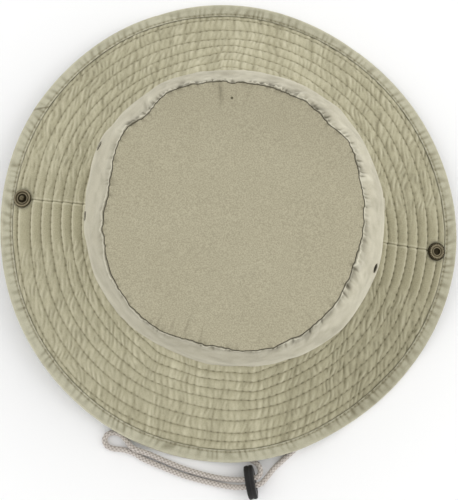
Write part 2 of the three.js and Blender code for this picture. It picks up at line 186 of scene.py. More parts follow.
brimSetup = {
    "width": 0.079,  # flat, from the crown seam to the bound edge
    "rowCount": 9,
    "lastRow": 0.0782,
    "leastPitch": 0.0015,
    "half": 0.0006,  # half the thickness between the two layers' low lines
    "tapeLift": 0.0018,  # from the tape's underside to the middle of the cloth
    "tapeWidth": 0.0092,
    "stitch": 0.0049,
    "columns": 700,
    "seamGap": 0.012,  # degrees left on each side of a side seam
    "middleReach": 0.13,
    "wander": 0.0004,  # how far a row of stitching strays, and over what length
    "wanderSize": 0.03,
    "tapeGap": 0.0002,
    "tapeTuck": 0.002,  # how far the cloth runs on under the tape, and under the crown's seam
    "crownTuck": 0.0012,
    "clearance": 0.0002,  # least height of the underside above the floor
}

# reach and height of the brim's inner edge, how far it flares, and the inset of its first row
brimFoot = {
    "angle": [0, 52, 90, 142, 180, 232, 270, 322],
    "reach": [0.086, 0.091, 0.101, 0.093, 0.0855, 0.0935, 0.0965, 0.093],
    "height": [0.038, 0.039, 0.04, 0.04, 0.04, 0.038, 0.0365, 0.037],
    "flare": [0.15, 0.4, 0.55, 0.4, 0.35, 0.85, 0.85, 0.65],
    "firstRow": [0.0144, 0.0128, 0.0128, 0.0126, 0.013, 0.0124, 0.0154, 0.0138],
}
brimEdge = {
    "angle": [0, 30, 55, 75, 92, 108, 125, 142, 163, 189, 210, 229, 241, 250, 257, 262, 268, 274, 281,
        294, 304, 313, 326, 342],
    "reach": [0.161, 0.159, 0.1596, 0.1624, 0.1655, 0.1669, 0.1662, 0.1643, 0.1629, 0.1612, 0.1623,
        0.1635, 0.1644, 0.1649, 0.1652, 0.1654, 0.1655, 0.1656, 0.1655, 0.164, 0.1624, 0.1618, 0.1618,
        0.1618],
    "height": [0.013, 0.0075, 0.0015, -0.003, -0.0034, -0.0026, 0.0035, 0.01, 0.017, 0.0215, 0.0195,
        0.012, 0.0064, 0.0049, 0.0006, -0.0018, -0.0018, 0.0028, 0.0062, 0.0062, 0.0022, -0.002, -0.002,
        0.006],
}
rowSpacing = {
    "angle": [0, 30, 60, 90, 120, 150, 180, 210, 240, 270, 300, 330],
    "second": [0.0225, 0.0218, 0.0212, 0.0226, 0.0224, 0.0216, 0.0228, 0.0222, 0.0215, 0.0219, 0.0213,
        0.0206],
    "pitch": [0.0076, 0.0089, 0.0094, 0.0091, 0.0089, 0.0083, 0.0076, 0.0086, 0.0091, 0.0092, 0.0085,
        0.008],
    "squeeze": [0, 0, 0.00005, 0, 0, 0.00005, 0, 0.0001, 0.0001, 0.00018, 0.0001, 0],
}
# where the inner rows bow out over a hump in the cloth
rowBows = {
    "angle": [98, 286, 249],
    "spread": [6, 5, 5],
    "shift": [0.0034, 0.002, 0.0022],
    "fromRow": [2, 3, 3],
}
brimHumps = {
    "angle": [97, 287, 262],
    "spread": [8, 7, 6],
    "inset": [0.066, 0.056, 0.062],
    "width": [0.022, 0.026, 0.02],
    "rise": [0.0016, 0.0018, 0.0011],
}
wallWaist = {
    "angle": [0, 30, 46, 62, 95, 128, 160, 180, 210, 245, 278, 302, 328],
    "reach": [0.1046, 0.1034, 0.1036, 0.1004, 0.0974, 0.1006, 0.0996, 0.0969, 0.0992, 0.0986, 0.1002,
        0.105, 0.107],
    "height": [0.07, 0.072, 0.073, 0.074, 0.075, 0.074, 0.073, 0.072, 0.072, 0.07, 0.069, 0.069, 0.069],
}
tipSeam = {
    "angle": [0, 22, 37, 45, 60, 95, 125, 140, 154, 180, 196, 232, 249, 262, 293, 325, 340],
    "reach": [0.087, 0.0858, 0.0876, 0.0836, 0.0833, 0.0798, 0.0828, 0.0802, 0.0834, 0.0783, 0.0824,
        0.0908, 0.0925, 0.0908, 0.0958, 0.0924, 0.0884],
    "height": [0.112, 0.1125, 0.113, 0.1135, 0.1145, 0.116, 0.116, 0.115, 0.1155, 0.1145, 0.114, 0.114,
        0.1135, 0.1135, 0.113, 0.112, 0.112],
}
wallFolds = {
    "angle": [43, 140, 222, 340],
    "spread": [5, 6, 9, 6],
    "depth": [0.0026, 0.003, 0.0022, 0.002],
    "level": [0.78, 0.8, 0.7, 0.8],
}
vents = {
    "name": ["ventLeftBack", "ventLeftFront", "ventRightBack", "ventRightFront"],
    "node": ["vent_left_back", "vent_left_front", "vent_right_back", "vent_right_front"],
    "angle": [160.3, 188.4, 11, 346],
    "level": [0.55, 0.5, 0.48, 0.57],
}


def hermite(start, startWay, end, endWay, t):
    # a smooth curve from start to end that leaves and arrives along the two ways
    rest = 1 - t
    return (
        start * rest * rest * (1 + 2 * t) + end * t * t * (3 - 2 * t)
        + startWay * t * rest * rest - endWay * t * t * rest
    )


def around(table, column, angles):
    # one column at any angle, on a smooth closed curve through its rows
    at = np.array(table["angle"], float)
    value = np.array(table[column], float)
    turn = np.mod(angles, 360.0)
    here = np.searchsorted(at, turn, side="right") - 1

    def knot(step):
        wraps = np.floor_divide(here + step, len(at))
        row = here + step - wraps * len(at)
        return at[row] + 360.0 * wraps, value[row]

    (a0, v0), (a1, v1), (a2, v2), (a3, v3) = [knot(step) for step in (-1, 0, 1, 2)]
    span = a2 - a1
    startSlope = (v2 - v0) / (a2 - a0) * span
    endSlope = (v3 - v1) / (a3 - a1) * span
    return hermite(v1, startSlope, v2, endSlope, (turn - a1) / span)


def outline(table, angles):
    # reach and height at each angle
    return np.stack([around(table, "reach", angles), around(table, "height", angles)], -1)


def turnBetween(angles, other):
    return np.mod(angles - other + 180.0, 360.0) - 180.0


def bell(distance, spread):
    return np.exp(-((distance / spread) ** 2))


def beside(angles, angle, spread):
    # 1 at one angle, fading away on both sides of it
    return bell(turnBetween(angles, angle), spread)[:, None]


def column(angles, value):
    return np.full((len(angles), 1), value)


def ramp(value, low, high):
    # 0 below low, 1 above high, smooth between
    share = np.clip((value - low) / (high - low), 0, 1)
    return share * share * (3 - 2 * share)


def hashed(i, j, seed):
    # a fixed number from -1 to 1 for each pair of whole numbers
    value = np.sin(i * 127.1 + j * 311.7 + seed * 74.7) * 43758.5453
    return 2 * (value - np.floor(value)) - 1


def softNoise(x, y, seed):
    # smooth noise from -1 to 1, one bump to each unit
    x0 = np.floor(x)
    y0 = np.floor(y)
    fx = ramp(x - x0, 0, 1)
    fy = ramp(y - y0, 0, 1)
    low = hashed(x0, y0, seed) * (1 - fx) + hashed(x0 + 1, y0, seed) * fx
    high = hashed(x0, y0 + 1, seed) * (1 - fx) + hashed(x0 + 1, y0 + 1, seed) * fx
    return low * (1 - fy) + high * fy


def ringNoise(angles, size, y, seed):
    # soft noise along the round of the crown, faded so that its end meets its start
    whole = 2 * math.pi * ringRadius / size
    walked = angles / 360 * whole
    share = ramp(angles, 340, 360)
    return softNoise(walked, y, seed) * (1 - share) + softNoise(walked - whole, y, seed) * share


def lookUp(wanted, lengths, values):
    # row by row, the value at each wanted length
    found = np.empty(wanted.shape)
    for row in range(len(wanted)):
        found[row] = np.interp(wanted[row], lengths[row], values)
    return found


def unit(vectors):
    return vectors / np.maximum(np.linalg.norm(vectors, axis=-1, keepdims=True), 1e-12)

def evenTurns(count):
    return np.arange(count) * 2 * math.pi / count


def evenAngles(count):
    return np.arange(count) * 360.0 / count


def walkedLength(points, direction=0):
    # length walked down each column of a grid, or along each row
    steps = np.linalg.norm(np.diff(points, axis=direction), axis=2)
    start = np.zeros_like(np.take(steps, [0], direction))
    return np.concatenate([start, np.cumsum(steps, axis=direction)], direction)


def placed(reach, angles, height):
    turn = np.radians(angles)[:, None]
    x = axis[0] + reach * np.cos(turn)
    y = axis[1] + reach * np.sin(turn)
    return np.stack([x, y, height], -1)


def gridFaces(rows, columns, closeRows=False, closeColumns=False):
    down = np.arange(rows if closeRows else rows - 1)[:, None]
    across = np.arange(columns if closeColumns else columns - 1)[None, :]
    nextDown = (down + 1) % rows
    nextAcross = (across + 1) % columns
    corners = [down * columns + across, nextDown * columns + across,
        nextDown * columns + nextAcross, down * columns + nextAcross]
    return np.stack(np.broadcast_arrays(*corners), -1).reshape(-1, 4)


def makePiece(name, points, faces, material, nodes=(), values=None, merge=False):
    mesh = bpy.data.meshes.new(name)
    faceList = faces if isinstance(faces, list) else faces.tolist()
    mesh.from_pydata(np.asarray(points).reshape(-1, 3).tolist(), [], faceList)
    for title, numbers in (values or {}).items():
        flat = np.asarray(numbers, np.float32).ravel()
        if len(flat) == len(mesh.vertices):
            # every plain value is a share from 0 to 1
            mesh.attributes.new(title, "FLOAT", "POINT").data.foreach_set("value", np.clip(flat, 0, 1))
        else:
            mesh.attributes.new(title, "FLOAT_VECTOR", "POINT").data.foreach_set("vector", flat)
    if merge:
        shape = bmesh.new()
        shape.from_mesh(mesh)
        bmesh.ops.remove_doubles(shape, verts=shape.verts, dist=1e-6)
        bmesh.ops.recalc_face_normals(shape, faces=shape.faces)
        shape.to_mesh(mesh)
        shape.free()
    mesh.shade_smooth()
    mesh.materials.append(material)
    piece = addObject(name, mesh)
    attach(piece, "root")
    if nodes:
        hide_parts(*nodes)
    return piece


def makeGroup(name, inputs, outputs):
    # a float makes a value socket, three numbers a vector, four a colour
    tree = bpy.data.node_groups.new(name, "ShaderNodeTree")
    for title, value in inputs.items():
        kind = "Float" if isinstance(value, float) else "Vector" if len(value) == 3 else "Color"
        socket = tree.interface.new_socket(title, in_out="INPUT", socket_type="NodeSocket" + kind)
        socket.default_value = value
    for title, kind in outputs.items():
        tree.interface.new_socket(title, in_out="OUTPUT", socket_type="NodeSocket" + kind)
    nodes = Nodes(tree)
    return nodes, nodes.add("NodeGroupInput").outputs, nodes.add("NodeGroupOutput")


def makeWeaveGroup():
    # twill lines on the cloth's own measure, with a loose washed grain over them
    inputs = {"Place": (0, 0, 0), "Thread": 0.0007}
    nodes, given, made = makeGroup("twillWeave", inputs, {"Height": "Float"})
    place = given["Place"]
    way = nodes.parts(place)
    turns = nodes.maths("DIVIDE", 2 * math.pi, given["Thread"])
    wobble = nodes.times(nodes.noise(place, 900.0), 2.5)
    along = nodes.times(way["Y"], turns)
    twill = nodes.maths("SINE", nodes.plus(nodes.plus(nodes.times(way["X"], turns), wobble), along))
    yarn = nodes.maths("SINE", nodes.times(along, 1.9))
    line = nodes.plus(nodes.times(twill, 0.35), nodes.times(yarn, 0.15))
    loose = nodes.times(nodes.noise(place, 1100.0, 3.0, 0.6), 0.5)
    nodes.dress(made, {"Height": nodes.plus(line, loose)})
    return nodes.tree


def makeToneAndShadeGroup():
    # uneven washed colour: broad fading and small mottling, then painted shade with darker washed and
    # stained spots, and pale rubbed wear with painted highlights
    nodes, given, made = makeGroup("washedToneAndShade", {
        "Place": (0, 0, 0), "ShadeAndStain": 0.0, "WearAndHighlight": 0.0, "Mottle": 0.3, "Grain": 0.3,
        "Cloth": (0.5, 0.5, 0.4, 1), "Shadow": (0.2, 0.2, 0.1, 1), "Pale": (0.7, 0.7, 0.6, 1),
    }, {"Color": "Color"})
    broad = nodes.noise(given["Place"], 28.0, 3.0)
    small = nodes.noise(given["Place"], 1200.0, 2.0, 0.6)
    fade = nodes.times(nodes.minus(broad, 0.42), 1.1, True)
    speck = nodes.times(nodes.minus(small, 0.35), 3.3, True)
    deep = nodes.times(nodes.minus(1.0, speck), given["Grain"])
    tone = nodes.mix(nodes.times(fade, given["Mottle"]), given["Cloth"], given["Pale"])
    tone = nodes.mix(deep, tone, given["Shadow"])
    # pale rubbed wear together with painted highlights
    tone = nodes.mix(given["WearAndHighlight"], tone, given["Pale"])
    # painted shade in hollows and creases, together with darker washed and stained cloth
    tone = nodes.mix(given["ShadeAndStain"], tone, given["Shadow"])
    nodes.dress(made, {"Color": tone})
    return nodes.tree


def makeCreaseGroup():
    # short sharp creases along the grain where the cloth is gathered: painted shade in each crease, and
    # a painted highlight on the ridge between that also raises the bump
    inputs = {"Place": (0, 0, 0), "Gathered": 0.0, "Pitch": 0.0032}
    nodes, given, made = makeGroup("gatherCreases", inputs, {"CreaseShade": "Float", "Pale": "Float"})
    place = given["Place"]
    drift = nodes.times(nodes.noise(place, 60.0, 0.0), 2.6)
    turns = nodes.plus(nodes.maths("DIVIDE", nodes.parts(place)["X"], given["Pitch"]), drift)
    wave = nodes.maths("ABSOLUTE", nodes.maths("SINE", nodes.times(turns, math.pi)))
    strength = nodes.times(nodes.minus(nodes.noise(place, 150.0, 1.0), 0.36), 3.6, True)
    strength = nodes.times(strength, given["Gathered"])
    sharp = nodes.minus(1.0, nodes.maths("POWER", wave, 0.55))
    ridge = nodes.maths("POWER", wave, 3.0)
    nodes.dress(made, {"CreaseShade": nodes.times(sharp, strength), "Pale": nodes.times(ridge, strength)})
    return nodes.tree


def makePlyGroup():
    # the slant of twisted yarn
    inputs = {"Place": (0, 0, 0), "Pitch": 0.0008}
    nodes, given, made = makeGroup("twistedPly", inputs, {"Height": "Float", "Fuzz": "Float"})
    way = nodes.parts(given["Place"])
    turns = nodes.maths("DIVIDE", 2 * math.pi, given["Pitch"])
    slant = nodes.plus(nodes.times(way["X"], turns), nodes.times(way["Y"], turns))
    fuzz = nodes.noise(given["Place"], 1500.0, 3.0, 0.7)
    height = nodes.plus(nodes.times(nodes.maths("SINE", slant), 0.4), fuzz)
    nodes.dress(made, {"Height": height, "Fuzz": fuzz})
    return nodes.tree


weaveGroup = makeWeaveGroup()
toneAndShadeGroup = makeToneAndShadeGroup()
creaseGroup = makeCreaseGroup()
plyGroup = makePlyGroup()


def makeCotton(look):
    material, nodes, shader = startMaterial(look["name"])
    place = nodes.read("clothPlace", "Vector")
    # painted shade together with darker washed and stained cloth, and painted highlights together with
    # rubbed wear, read from the mesh
    shadeAndStain = nodes.times(nodes.read("shadeAndStain"), look["shadeAndStain"])
    wearAndHighlight = nodes.times(nodes.read("wearAndHighlight"), look["wearAndHighlight"])
    weave = nodes.use(weaveGroup, {"Place": place, "Thread": look["thread"]})
    normal = nodes.bump(weave["Height"], look["bump"], 0.0002)
    if "crease" in look:
        gathered = nodes.read("gathered")
        creases = nodes.use(creaseGroup, {"Place": place, "Gathered": gathered, "Pitch": look["pitch"]})
        # painted shade in the creases, painted highlight on their ridges
        shadeAndStain = nodes.plus(shadeAndStain, nodes.times(creases["CreaseShade"], look["crease"]), True)
        wearAndHighlight = nodes.plus(wearAndHighlight, nodes.times(creases["Pale"], look["ridge"]), True)
        normal = nodes.bump(creases["Pale"], 0.6, 0.0007, Normal=normal)
    shadedTone = nodes.use(toneAndShadeGroup, {
        "Place": place, "ShadeAndStain": shadeAndStain, "WearAndHighlight": wearAndHighlight, "Mottle": look["mottle"], "Grain": look["grain"],
        "Cloth": (*look["cloth"], 1), "Shadow": (*look["shadow"], 1), "Pale": (*look["pale"], 1),
    })
    nodes.dress(shader, {
        "Base Color": shadedTone["Color"], "Normal": normal, "Roughness": 0.92, "Specular IOR Level": 0.2,
        "Sheen Weight": 0.12, "Sheen Roughness": 0.5,
    })
    return material


def makeYarn(look):
    material, nodes, shader = startMaterial(look["name"])
    place = nodes.read("clothPlace", "Vector")
    ply = nodes.use(plyGroup, {"Place": place, "Pitch": look["pitch"]})
    tone = nodes.mix(nodes.times(ply["Fuzz"], 0.5), look["dark"], look["pale"])
    # painted shade where the mesh marks it, between strands and between winds
    tone = nodes.mix(nodes.times(nodes.read("shadeAndStain"), look["shadeAndStain"]), tone, look["shadow"])
    nodes.dress(shader, {
        "Base Color": tone, "Normal": nodes.bump(ply["Height"], 0.5, 0.00015), "Roughness": 0.88,
        "Specular IOR Level": 0.25, "Sheen Weight": 0.15,
    })
    return material


def makeHard(look):
    # plastic or metal; where the look names them, rubbed edges with painted glints, and dirt and patina
    # with painted shade in hollows
    material, nodes, shader = startMaterial(look["name"])
    place = nodes.add("ShaderNodeTexCoord").outputs["Object"]
    patina = nodes.noise(place, look["grain"], 4.0, look["fine"])
    tone = nodes.mix(patina, look["dark"], look["pale"])
    if "rubbedAndGlint" in look:
        tone = nodes.mix(nodes.read("wearAndHighlight"), tone, look["rubbedAndGlint"])
        tone = nodes.mix(nodes.read("shadeAndStain"), tone, look["dirtAndShade"])
    least, most = look["roughness"]
    rough = nodes.add("ShaderNodeMapRange", {"Value": patina, "To Min": least, "To Max": most})
    nodes.dress(shader, {
        "Base Color": tone, "Roughness": rough.outputs[0],
        "Normal": nodes.bump(patina, look["bump"], 0.0001), **look["shader"],
    })
    return material


# shadow is the colour of painted shade; crease and ridge say how much painted shade the creases get and
# how much painted highlight their ridges get
brimCotton = makeCotton({
    "name": "brimCotton", "cloth": (0.462, 0.43, 0.29), "shadow": (0.1, 0.088, 0.042),
    "pale": (0.64, 0.605, 0.44), "mottle": 0.5, "grain": 0.28, "shadeAndStain": 1.0, "wearAndHighlight": 0.8,
    "thread": 0.0007, "bump": 0.35, "crease": 0.55, "ridge": 0.35, "pitch": 0.0035,
})
tipCotton = makeCotton({
    "name": "tipCotton", "cloth": (0.45, 0.413, 0.292), "shadow": (0.06, 0.05, 0.024),
    "pale": (0.53, 0.495, 0.362), "mottle": 0.5, "grain": 0.34, "shadeAndStain": 1.0, "wearAndHighlight": 0.5,
    "thread": 0.0007, "bump": 0.35,
})
sideCotton = makeCotton({
    "name": "sideCotton", "cloth": (0.466, 0.435, 0.329), "shadow": (0.07, 0.06, 0.032),
    "pale": (0.68, 0.65, 0.52), "mottle": 0.4, "grain": 0.14, "shadeAndStain": 1.0, "wearAndHighlight": 0.8,
    "thread": 0.0007, "bump": 0.3,
})
tapeCotton = makeCotton({
    "name": "tapeCotton", "cloth": (0.505, 0.485, 0.358), "shadow": (0.13, 0.11, 0.055),
    "pale": (0.68, 0.655, 0.51), "mottle": 0.5, "grain": 0.2, "shadeAndStain": 0.85, "wearAndHighlight": 0.6,
    "thread": 0.0006, "bump": 0.4,
})
sewingThread = makeYarn({
    "name": "sewingThread", "pale": (0.48, 0.45, 0.32), "dark": (0.38, 0.35, 0.23),
    "shadow": (0.15, 0.13, 0.07), "shadeAndStain": 0.6, "pitch": 0.0006,
})
eyeletThread = makeYarn({
    "name": "eyeletThread", "pale": (0.74, 0.7, 0.56), "dark": (0.58, 0.54, 0.4),
    "shadow": (0.06, 0.05, 0.03), "shadeAndStain": 0.95, "pitch": 0.0006,
})
cordYarn = makeYarn({
    "name": "cordYarn", "pale": (0.9, 0.86, 0.81), "dark": (0.62, 0.57, 0.52),
    "shadow": (0.16, 0.12, 0.09), "shadeAndStain": 0.8, "pitch": 0.0009,
})
blackPlastic = makeHard({
    "name": "blackPlastic", "pale": (0.02, 0.019, 0.018), "dark": (0.008, 0.008, 0.008),
    "grain": 700.0, "fine": 0.7, "roughness": (0.25, 0.5), "bump": 0.15,
    "shader": {"Specular IOR Level": 0.22},
})
# on the snaps, rubbed brass with painted glints, and dark dirt with painted shade
agedBrass = makeHard({
    "name": "agedBrass", "pale": (0.24, 0.2, 0.12), "dark": (0.1, 0.075, 0.035),
    "rubbedAndGlint": (0.5, 0.44, 0.3), "dirtAndShade": (0.02, 0.015, 0.006),
    "grain": 900.0, "fine": 0.65, "roughness": (0.3, 0.55), "bump": 0.25,
    "shader": {"Metallic": 0.85},
})
print("materials are made")


cordSetup = {
    "diameter": 0.0039,
    "step": 0.0007,
    "strands": 8,
    "braidPitch": 0.0115,
    "strandReach": 0.00148,
    "strandWeave": 0.00016,
    "strandHalfWidth": 0.00082,
    "strandHalfHeight": 0.00036,
    "strandSides": 8,
    "yarnStretch": 1.3,  # how far the yarn's own measure runs for each metre of cord
    "yarnRadius": 0.0004,
}

cordRoute = [
    (-0.0883, 0.0, 0.0371), (-0.087, -0.0012, 0.027), (-0.0872, -0.0045, 0.015),
    (-0.088, -0.012, 0.0054), (-0.0886, -0.022, 0.0025), (-0.0876, -0.036, 0.0022),
    (-0.08, -0.067, 0.0022), (-0.056, -0.105, 0.0022), (-0.02, -0.133, 0.0022), (0.014, -0.1496, 0.0022),
    (0.0315, -0.1583, 0.0022), (0.0364, -0.1606, 0.0026), (0.0406, -0.163, 0.0042),
    (0.043, -0.167, 0.0062), (0.0422, -0.1709, 0.0073), (0.03965, -0.17239, 0.00746),
    (0.03363, -0.17423, 0.00634), (0.025, -0.1756, 0.004), (0.012, -0.1756, 0.0023),
    (-0.009, -0.1727, 0.0022), (-0.025, -0.1686, 0.0022), (-0.035, -0.1657, 0.0026),
    (-0.041, -0.1642, 0.0042), (-0.0464, -0.1632, 0.0054), (-0.0504, -0.1606, 0.004),
    (-0.0546, -0.1566, 0.0024), (-0.0586, -0.1541, 0.0022), (-0.063, -0.1538, 0.0022),
    (-0.0669, -0.1557, 0.0022), (-0.0683, -0.1593, 0.0022), (-0.0666, -0.163, 0.0022),
    (-0.0626, -0.1646, 0.0022), (-0.054, -0.1647, 0.0022), (-0.046, -0.1663, 0.0022),
    (-0.0402, -0.169, 0.0022), (-0.026, -0.1731, 0.0022), (-0.01, -0.1771, 0.0022),
    (0.012, -0.18, 0.0023), (0.026, -0.1806, 0.0042), (0.03515, -0.17921, 0.00634),
    (0.04117, -0.17737, 0.00746), (0.0446, -0.1756, 0.007), (0.048, -0.1712, 0.0056),
    (0.052, -0.1649, 0.0034), (0.0576, -0.1582, 0.0022), (0.067, -0.147, 0.0022),
    (0.079, -0.126, 0.0022), (0.089, -0.09, 0.0022), (0.092, -0.038, 0.0022), (0.0908, -0.024, 0.0025),
    (0.0892, -0.013, 0.0054), (0.0872, -0.0046, 0.015), (0.0868, -0.0012, 0.026), (0.0879, 0.0, 0.0346),
]


def smoothRoute(route, step):
    # an even walk along the centripetal curve through the points
    points = np.array(route, float)
    points = np.vstack([2 * points[0] - points[1], points, 2 * points[-1] - points[-2]])
    t = np.linspace(0, 1, 24, endpoint=False)[:, None]
    walk = []
    for p0, p1, p2, p3 in zip(points, points[1:], points[2:], points[3:]):
        d0, d1, d2 = [np.linalg.norm(b - a) ** 0.5 for a, b in ((p0, p1), (p1, p2), (p2, p3))]
        start = ((p1 - p0) / d0 - (p2 - p0) / (d0 + d1) + (p2 - p1) / d1) * d1
        end = ((p2 - p1) / d1 - (p3 - p1) / (d1 + d2) + (p3 - p2) / d2) * d1
        walk.append(hermite(p1, start, p2, end, t))
    walk = np.vstack([*walk, points[-2:-1]])
    lengths = walkedLength(walk[:, None])[:, 0]
    wanted = np.linspace(0, lengths[-1], int(round(lengths[-1] / step)) + 1)
    even = np.stack([np.interp(wanted, lengths, walk[:, k]) for k in range(3)], -1)
    return even, wanted


def travellingFrames(line):
    # two side vectors that turn no more than the line does
    ahead = unit(np.gradient(line, axis=0))
    side = np.empty_like(line)
    side[0] = unit(np.cross(ahead[0], (0.3, 0.2, 1.0)))
    for index in range(1, len(line)):
        carried = side[index - 1] - ahead[index] * np.dot(side[index - 1], ahead[index])
        side[index] = carried / np.linalg.norm(carried)
    return side, np.cross(ahead, side)


def makeCord(setup):
    line, lengths = smoothRoute(cordRoute, setup["step"])
    side, up = travellingFrames(line)
    walked = 2 * math.pi * lengths / setup["braidPitch"]
    sides = setup["strandSides"]
    rim = evenTurns(sides)
    points, faces, places, strandShades = [], [], [], []
    for strand in range(setup["strands"]):
        way = 1 if strand % 2 == 0 else -1
        turn = (way * walked + (strand // 2) * math.pi / 2)[:, None]
        over = way * np.cos(4 * walked)[:, None]
        outward = side * np.cos(turn) + up * np.sin(turn)
        middle = line + outward * (setup["strandReach"] + setup["strandWeave"] * over)
        along = unit(np.gradient(middle, axis=0))
        across = unit(np.cross(along, outward))
        outward = np.cross(across, along)
        wide = across[:, None] * (np.cos(rim) * setup["strandHalfWidth"])[:, None]
        high = outward[:, None] * (np.sin(rim) * setup["strandHalfHeight"])[:, None]
        points.append((middle[:, None] + wide + high).reshape(-1, 3))
        faces.append(gridFaces(len(line), sides, closeColumns=True) + len(line) * sides * strand)
        place = np.zeros((len(line), sides, 3))
        place[..., 0] = lengths[:, None] * setup["yarnStretch"]
        place[..., 1] = rim * setup["yarnRadius"] + strand * 0.01
        places.append(place.reshape(-1, 3))
        # painted shade on each strand's sides, where it meets its neighbours, and where it dips under a
        # crossing strand
        edge = np.abs(np.cos(rim)) ** 3 * 0.75
        strandShades.append((edge + 0.35 * (1 - over)).ravel())
    values = {"clothPlace": np.vstack(places), "shadeAndStain": np.concatenate(strandShades)}
    cord = makePiece("chinCord", np.vstack(points), np.vstack(faces), cordYarn,
        ["chin_cord"], values)
    return cord, line, lengths[-1]


lockSetup = {
    "centre": (0.0374, -0.1758, 0.0069),
    "turn": 17.0,
    "lean": 10.0,
    "halfLength": 0.012,
    "halfHeight": 0.0065,
    "depth": 0.0064,
    "roundness": 0.0014,
    "groove": 0.0004,
    "holeRadius": 0.0023,
    "holePitch": 0.0052,
    "sides": 96,
}


def makeLock(setup):
    half, roundness = setup["depth"] / 2, setup["roundness"]
    long, high = setup["halfLength"], setup["halfHeight"]
    curve = np.linspace(0, math.pi / 2, 8)
    # face, rounded rim, parting groove, and the same again below
    profile = [(high * share, half) for share in (1.0, 0.6)]
    profile += list(zip(roundness * (1 - np.sin(curve)), half - roundness * (1 - np.cos(curve))))
    profile += [(0, 0.0006), (setup["groove"], 0.0003), (setup["groove"], 0.0)]
    profile += [(inward, -level) for inward, level in reversed(profile[:-1])]
    turns = evenTurns(setup["sides"])
    rings = []
    for inward, level in profile:
        a, b = max(long - inward, 0.0), max(high - inward, 0.0)
        if inward > high * 0.5:
            a, b = long * (1 - inward / high), high * (1 - inward / high)
        rings.append(np.stack([a * np.cos(turns), b * np.sin(turns), np.full(turns.shape, level)], -1))
    turn = math.radians(setup["turn"])
    lengthways = Vector((math.sin(turn), -math.cos(turn), 0))
    through = Vector((math.cos(turn), math.sin(turn), 0))
    through.rotate(Quaternion(lengthways, math.radians(setup["lean"])))
    basis = np.array([lengthways, through.cross(lengthways), through])
    points = np.array(rings) @ basis + np.array(setup["centre"])
    lock = makePiece("cordLock", points, gridFaces(len(rings), setup["sides"], closeColumns=True),
        blackPlastic, ["cord_toggle"], merge=True)
    drills = []
    for side in (-1, 1):
        bpy.ops.mesh.primitive_cylinder_add(vertices=40, radius=setup["holeRadius"], depth=0.03)
        drill = bpy.context.object
        drill.location = Vector(setup["centre"]) + lengthways * (side * setup["holePitch"] / 2)
        drill.rotation_mode = "QUATERNION"
        drill.rotation_quaternion = through.to_track_quat("Z", "Y")
        cut = lock.modifiers.new("hole", "BOOLEAN")
        cut.object = drill
        cut.solver = "EXACT"
        drills.append(drill)
    bpy.context.view_layer.update()
    drilled = bpy.data.meshes.new_from_object(lock.evaluated_get(bpy.context.evaluated_depsgraph_get()))
    lock.modifiers.clear()
    lock.data = drilled
    for drill in drills:
        bpy.data.objects.remove(drill)
    return lock


chinCord, cordLine, cordLength = makeCord(cordSetup)
cordLock = makeLock(lockSetup)
print("cord and lock are made, the cord", round(cordLength, 4), "m long")


def brimMiddle(angles, insets):
    # the middle of the brim's cloth; insets are measured in from the bound edge
    inner = outline(brimFoot, angles)
    outer = outline(brimEdge, angles) + (0, brimSetup["tapeLift"])
    drop = inner[:, 1] - outer[:, 1]
    pullHeight = inner[:, 1] - drop * (1 + around(brimFoot, "flare", angles)) / 2
    pull = np.stack([(inner[:, 0] + outer[:, 0]) / 2, pullHeight], -1)

    def curve(t):
        t = np.atleast_2d(t)[..., None]
        rest = 1 - t
        return inner[:, None] * rest * rest + pull[:, None] * 2 * rest * t + outer[:, None] * t * t

    t = np.linspace(0, 1, 41)
    lengths = walkedLength(curve(t), 1)
    spot = curve(lookUp((1 - insets / brimSetup["width"]) * lengths[:, -1:], lengths, t))
    height = spot[..., 1].copy()
    for angle, spread, inset, width, rise in zip(*brimHumps.values()):
        height += rise * beside(angles, angle, spread) * bell(insets - inset, width / 2)
    return placed(spot[..., 0], angles, np.maximum(height, brimSetup["tapeLift"]))


def brimNormals(angles, insets):
    step, turn = 0.0006, 0.6
    further = np.minimum(insets + step, brimSetup["width"])
    outward = brimMiddle(angles, np.maximum(insets - step, 0)) - brimMiddle(angles, further)
    onward = brimMiddle(angles + turn, insets) - brimMiddle(angles - turn, insets)
    return unit(np.cross(outward, onward))


def brimSurface(angles, insets, lift):
    return brimMiddle(angles, insets) + brimNormals(angles, insets) * lift[..., None]


def onBrim(angle, inset):
    # one spot in the brim's middle and the way up out of it
    angles, insets = np.array([float(angle)]), np.array([[inset]])
    return brimMiddle(angles, insets)[0, 0], brimNormals(angles, insets)[0, 0]


def stitchRows(angles):
    # the first row follows the tape; the others keep their spacing, with a hand-guided wander
    first = around(brimFoot, "firstRow", angles)[:, None]
    index = np.arange(brimSetup["rowCount"] - 1)[None, :]
    second, pitch, squeeze = [around(rowSpacing, key, angles)[:, None]
        for key in ("second", "pitch", "squeeze")]
    arc = np.radians(angles)[:, None] * brimSetup["middleReach"]
    rest = second + pitch * index - squeeze * index ** 2
    rest = rest + brimSetup["wander"] * softNoise(arc / brimSetup["wanderSize"], index * 3.0, 11)
    for angle, spread, shift, fromRow in zip(*rowBows.values()):
        rest = rest - shift * beside(angles, angle, spread) * ramp(index, fromRow - 1, fromRow + 1)
    # toward the crown the rows crowd together under its seam
    left = brimSetup["rowCount"] - 2 - index
    rest = np.minimum(rest, brimSetup["lastRow"] - brimSetup["leastPitch"] * left)
    return np.concatenate([first, rest], 1)


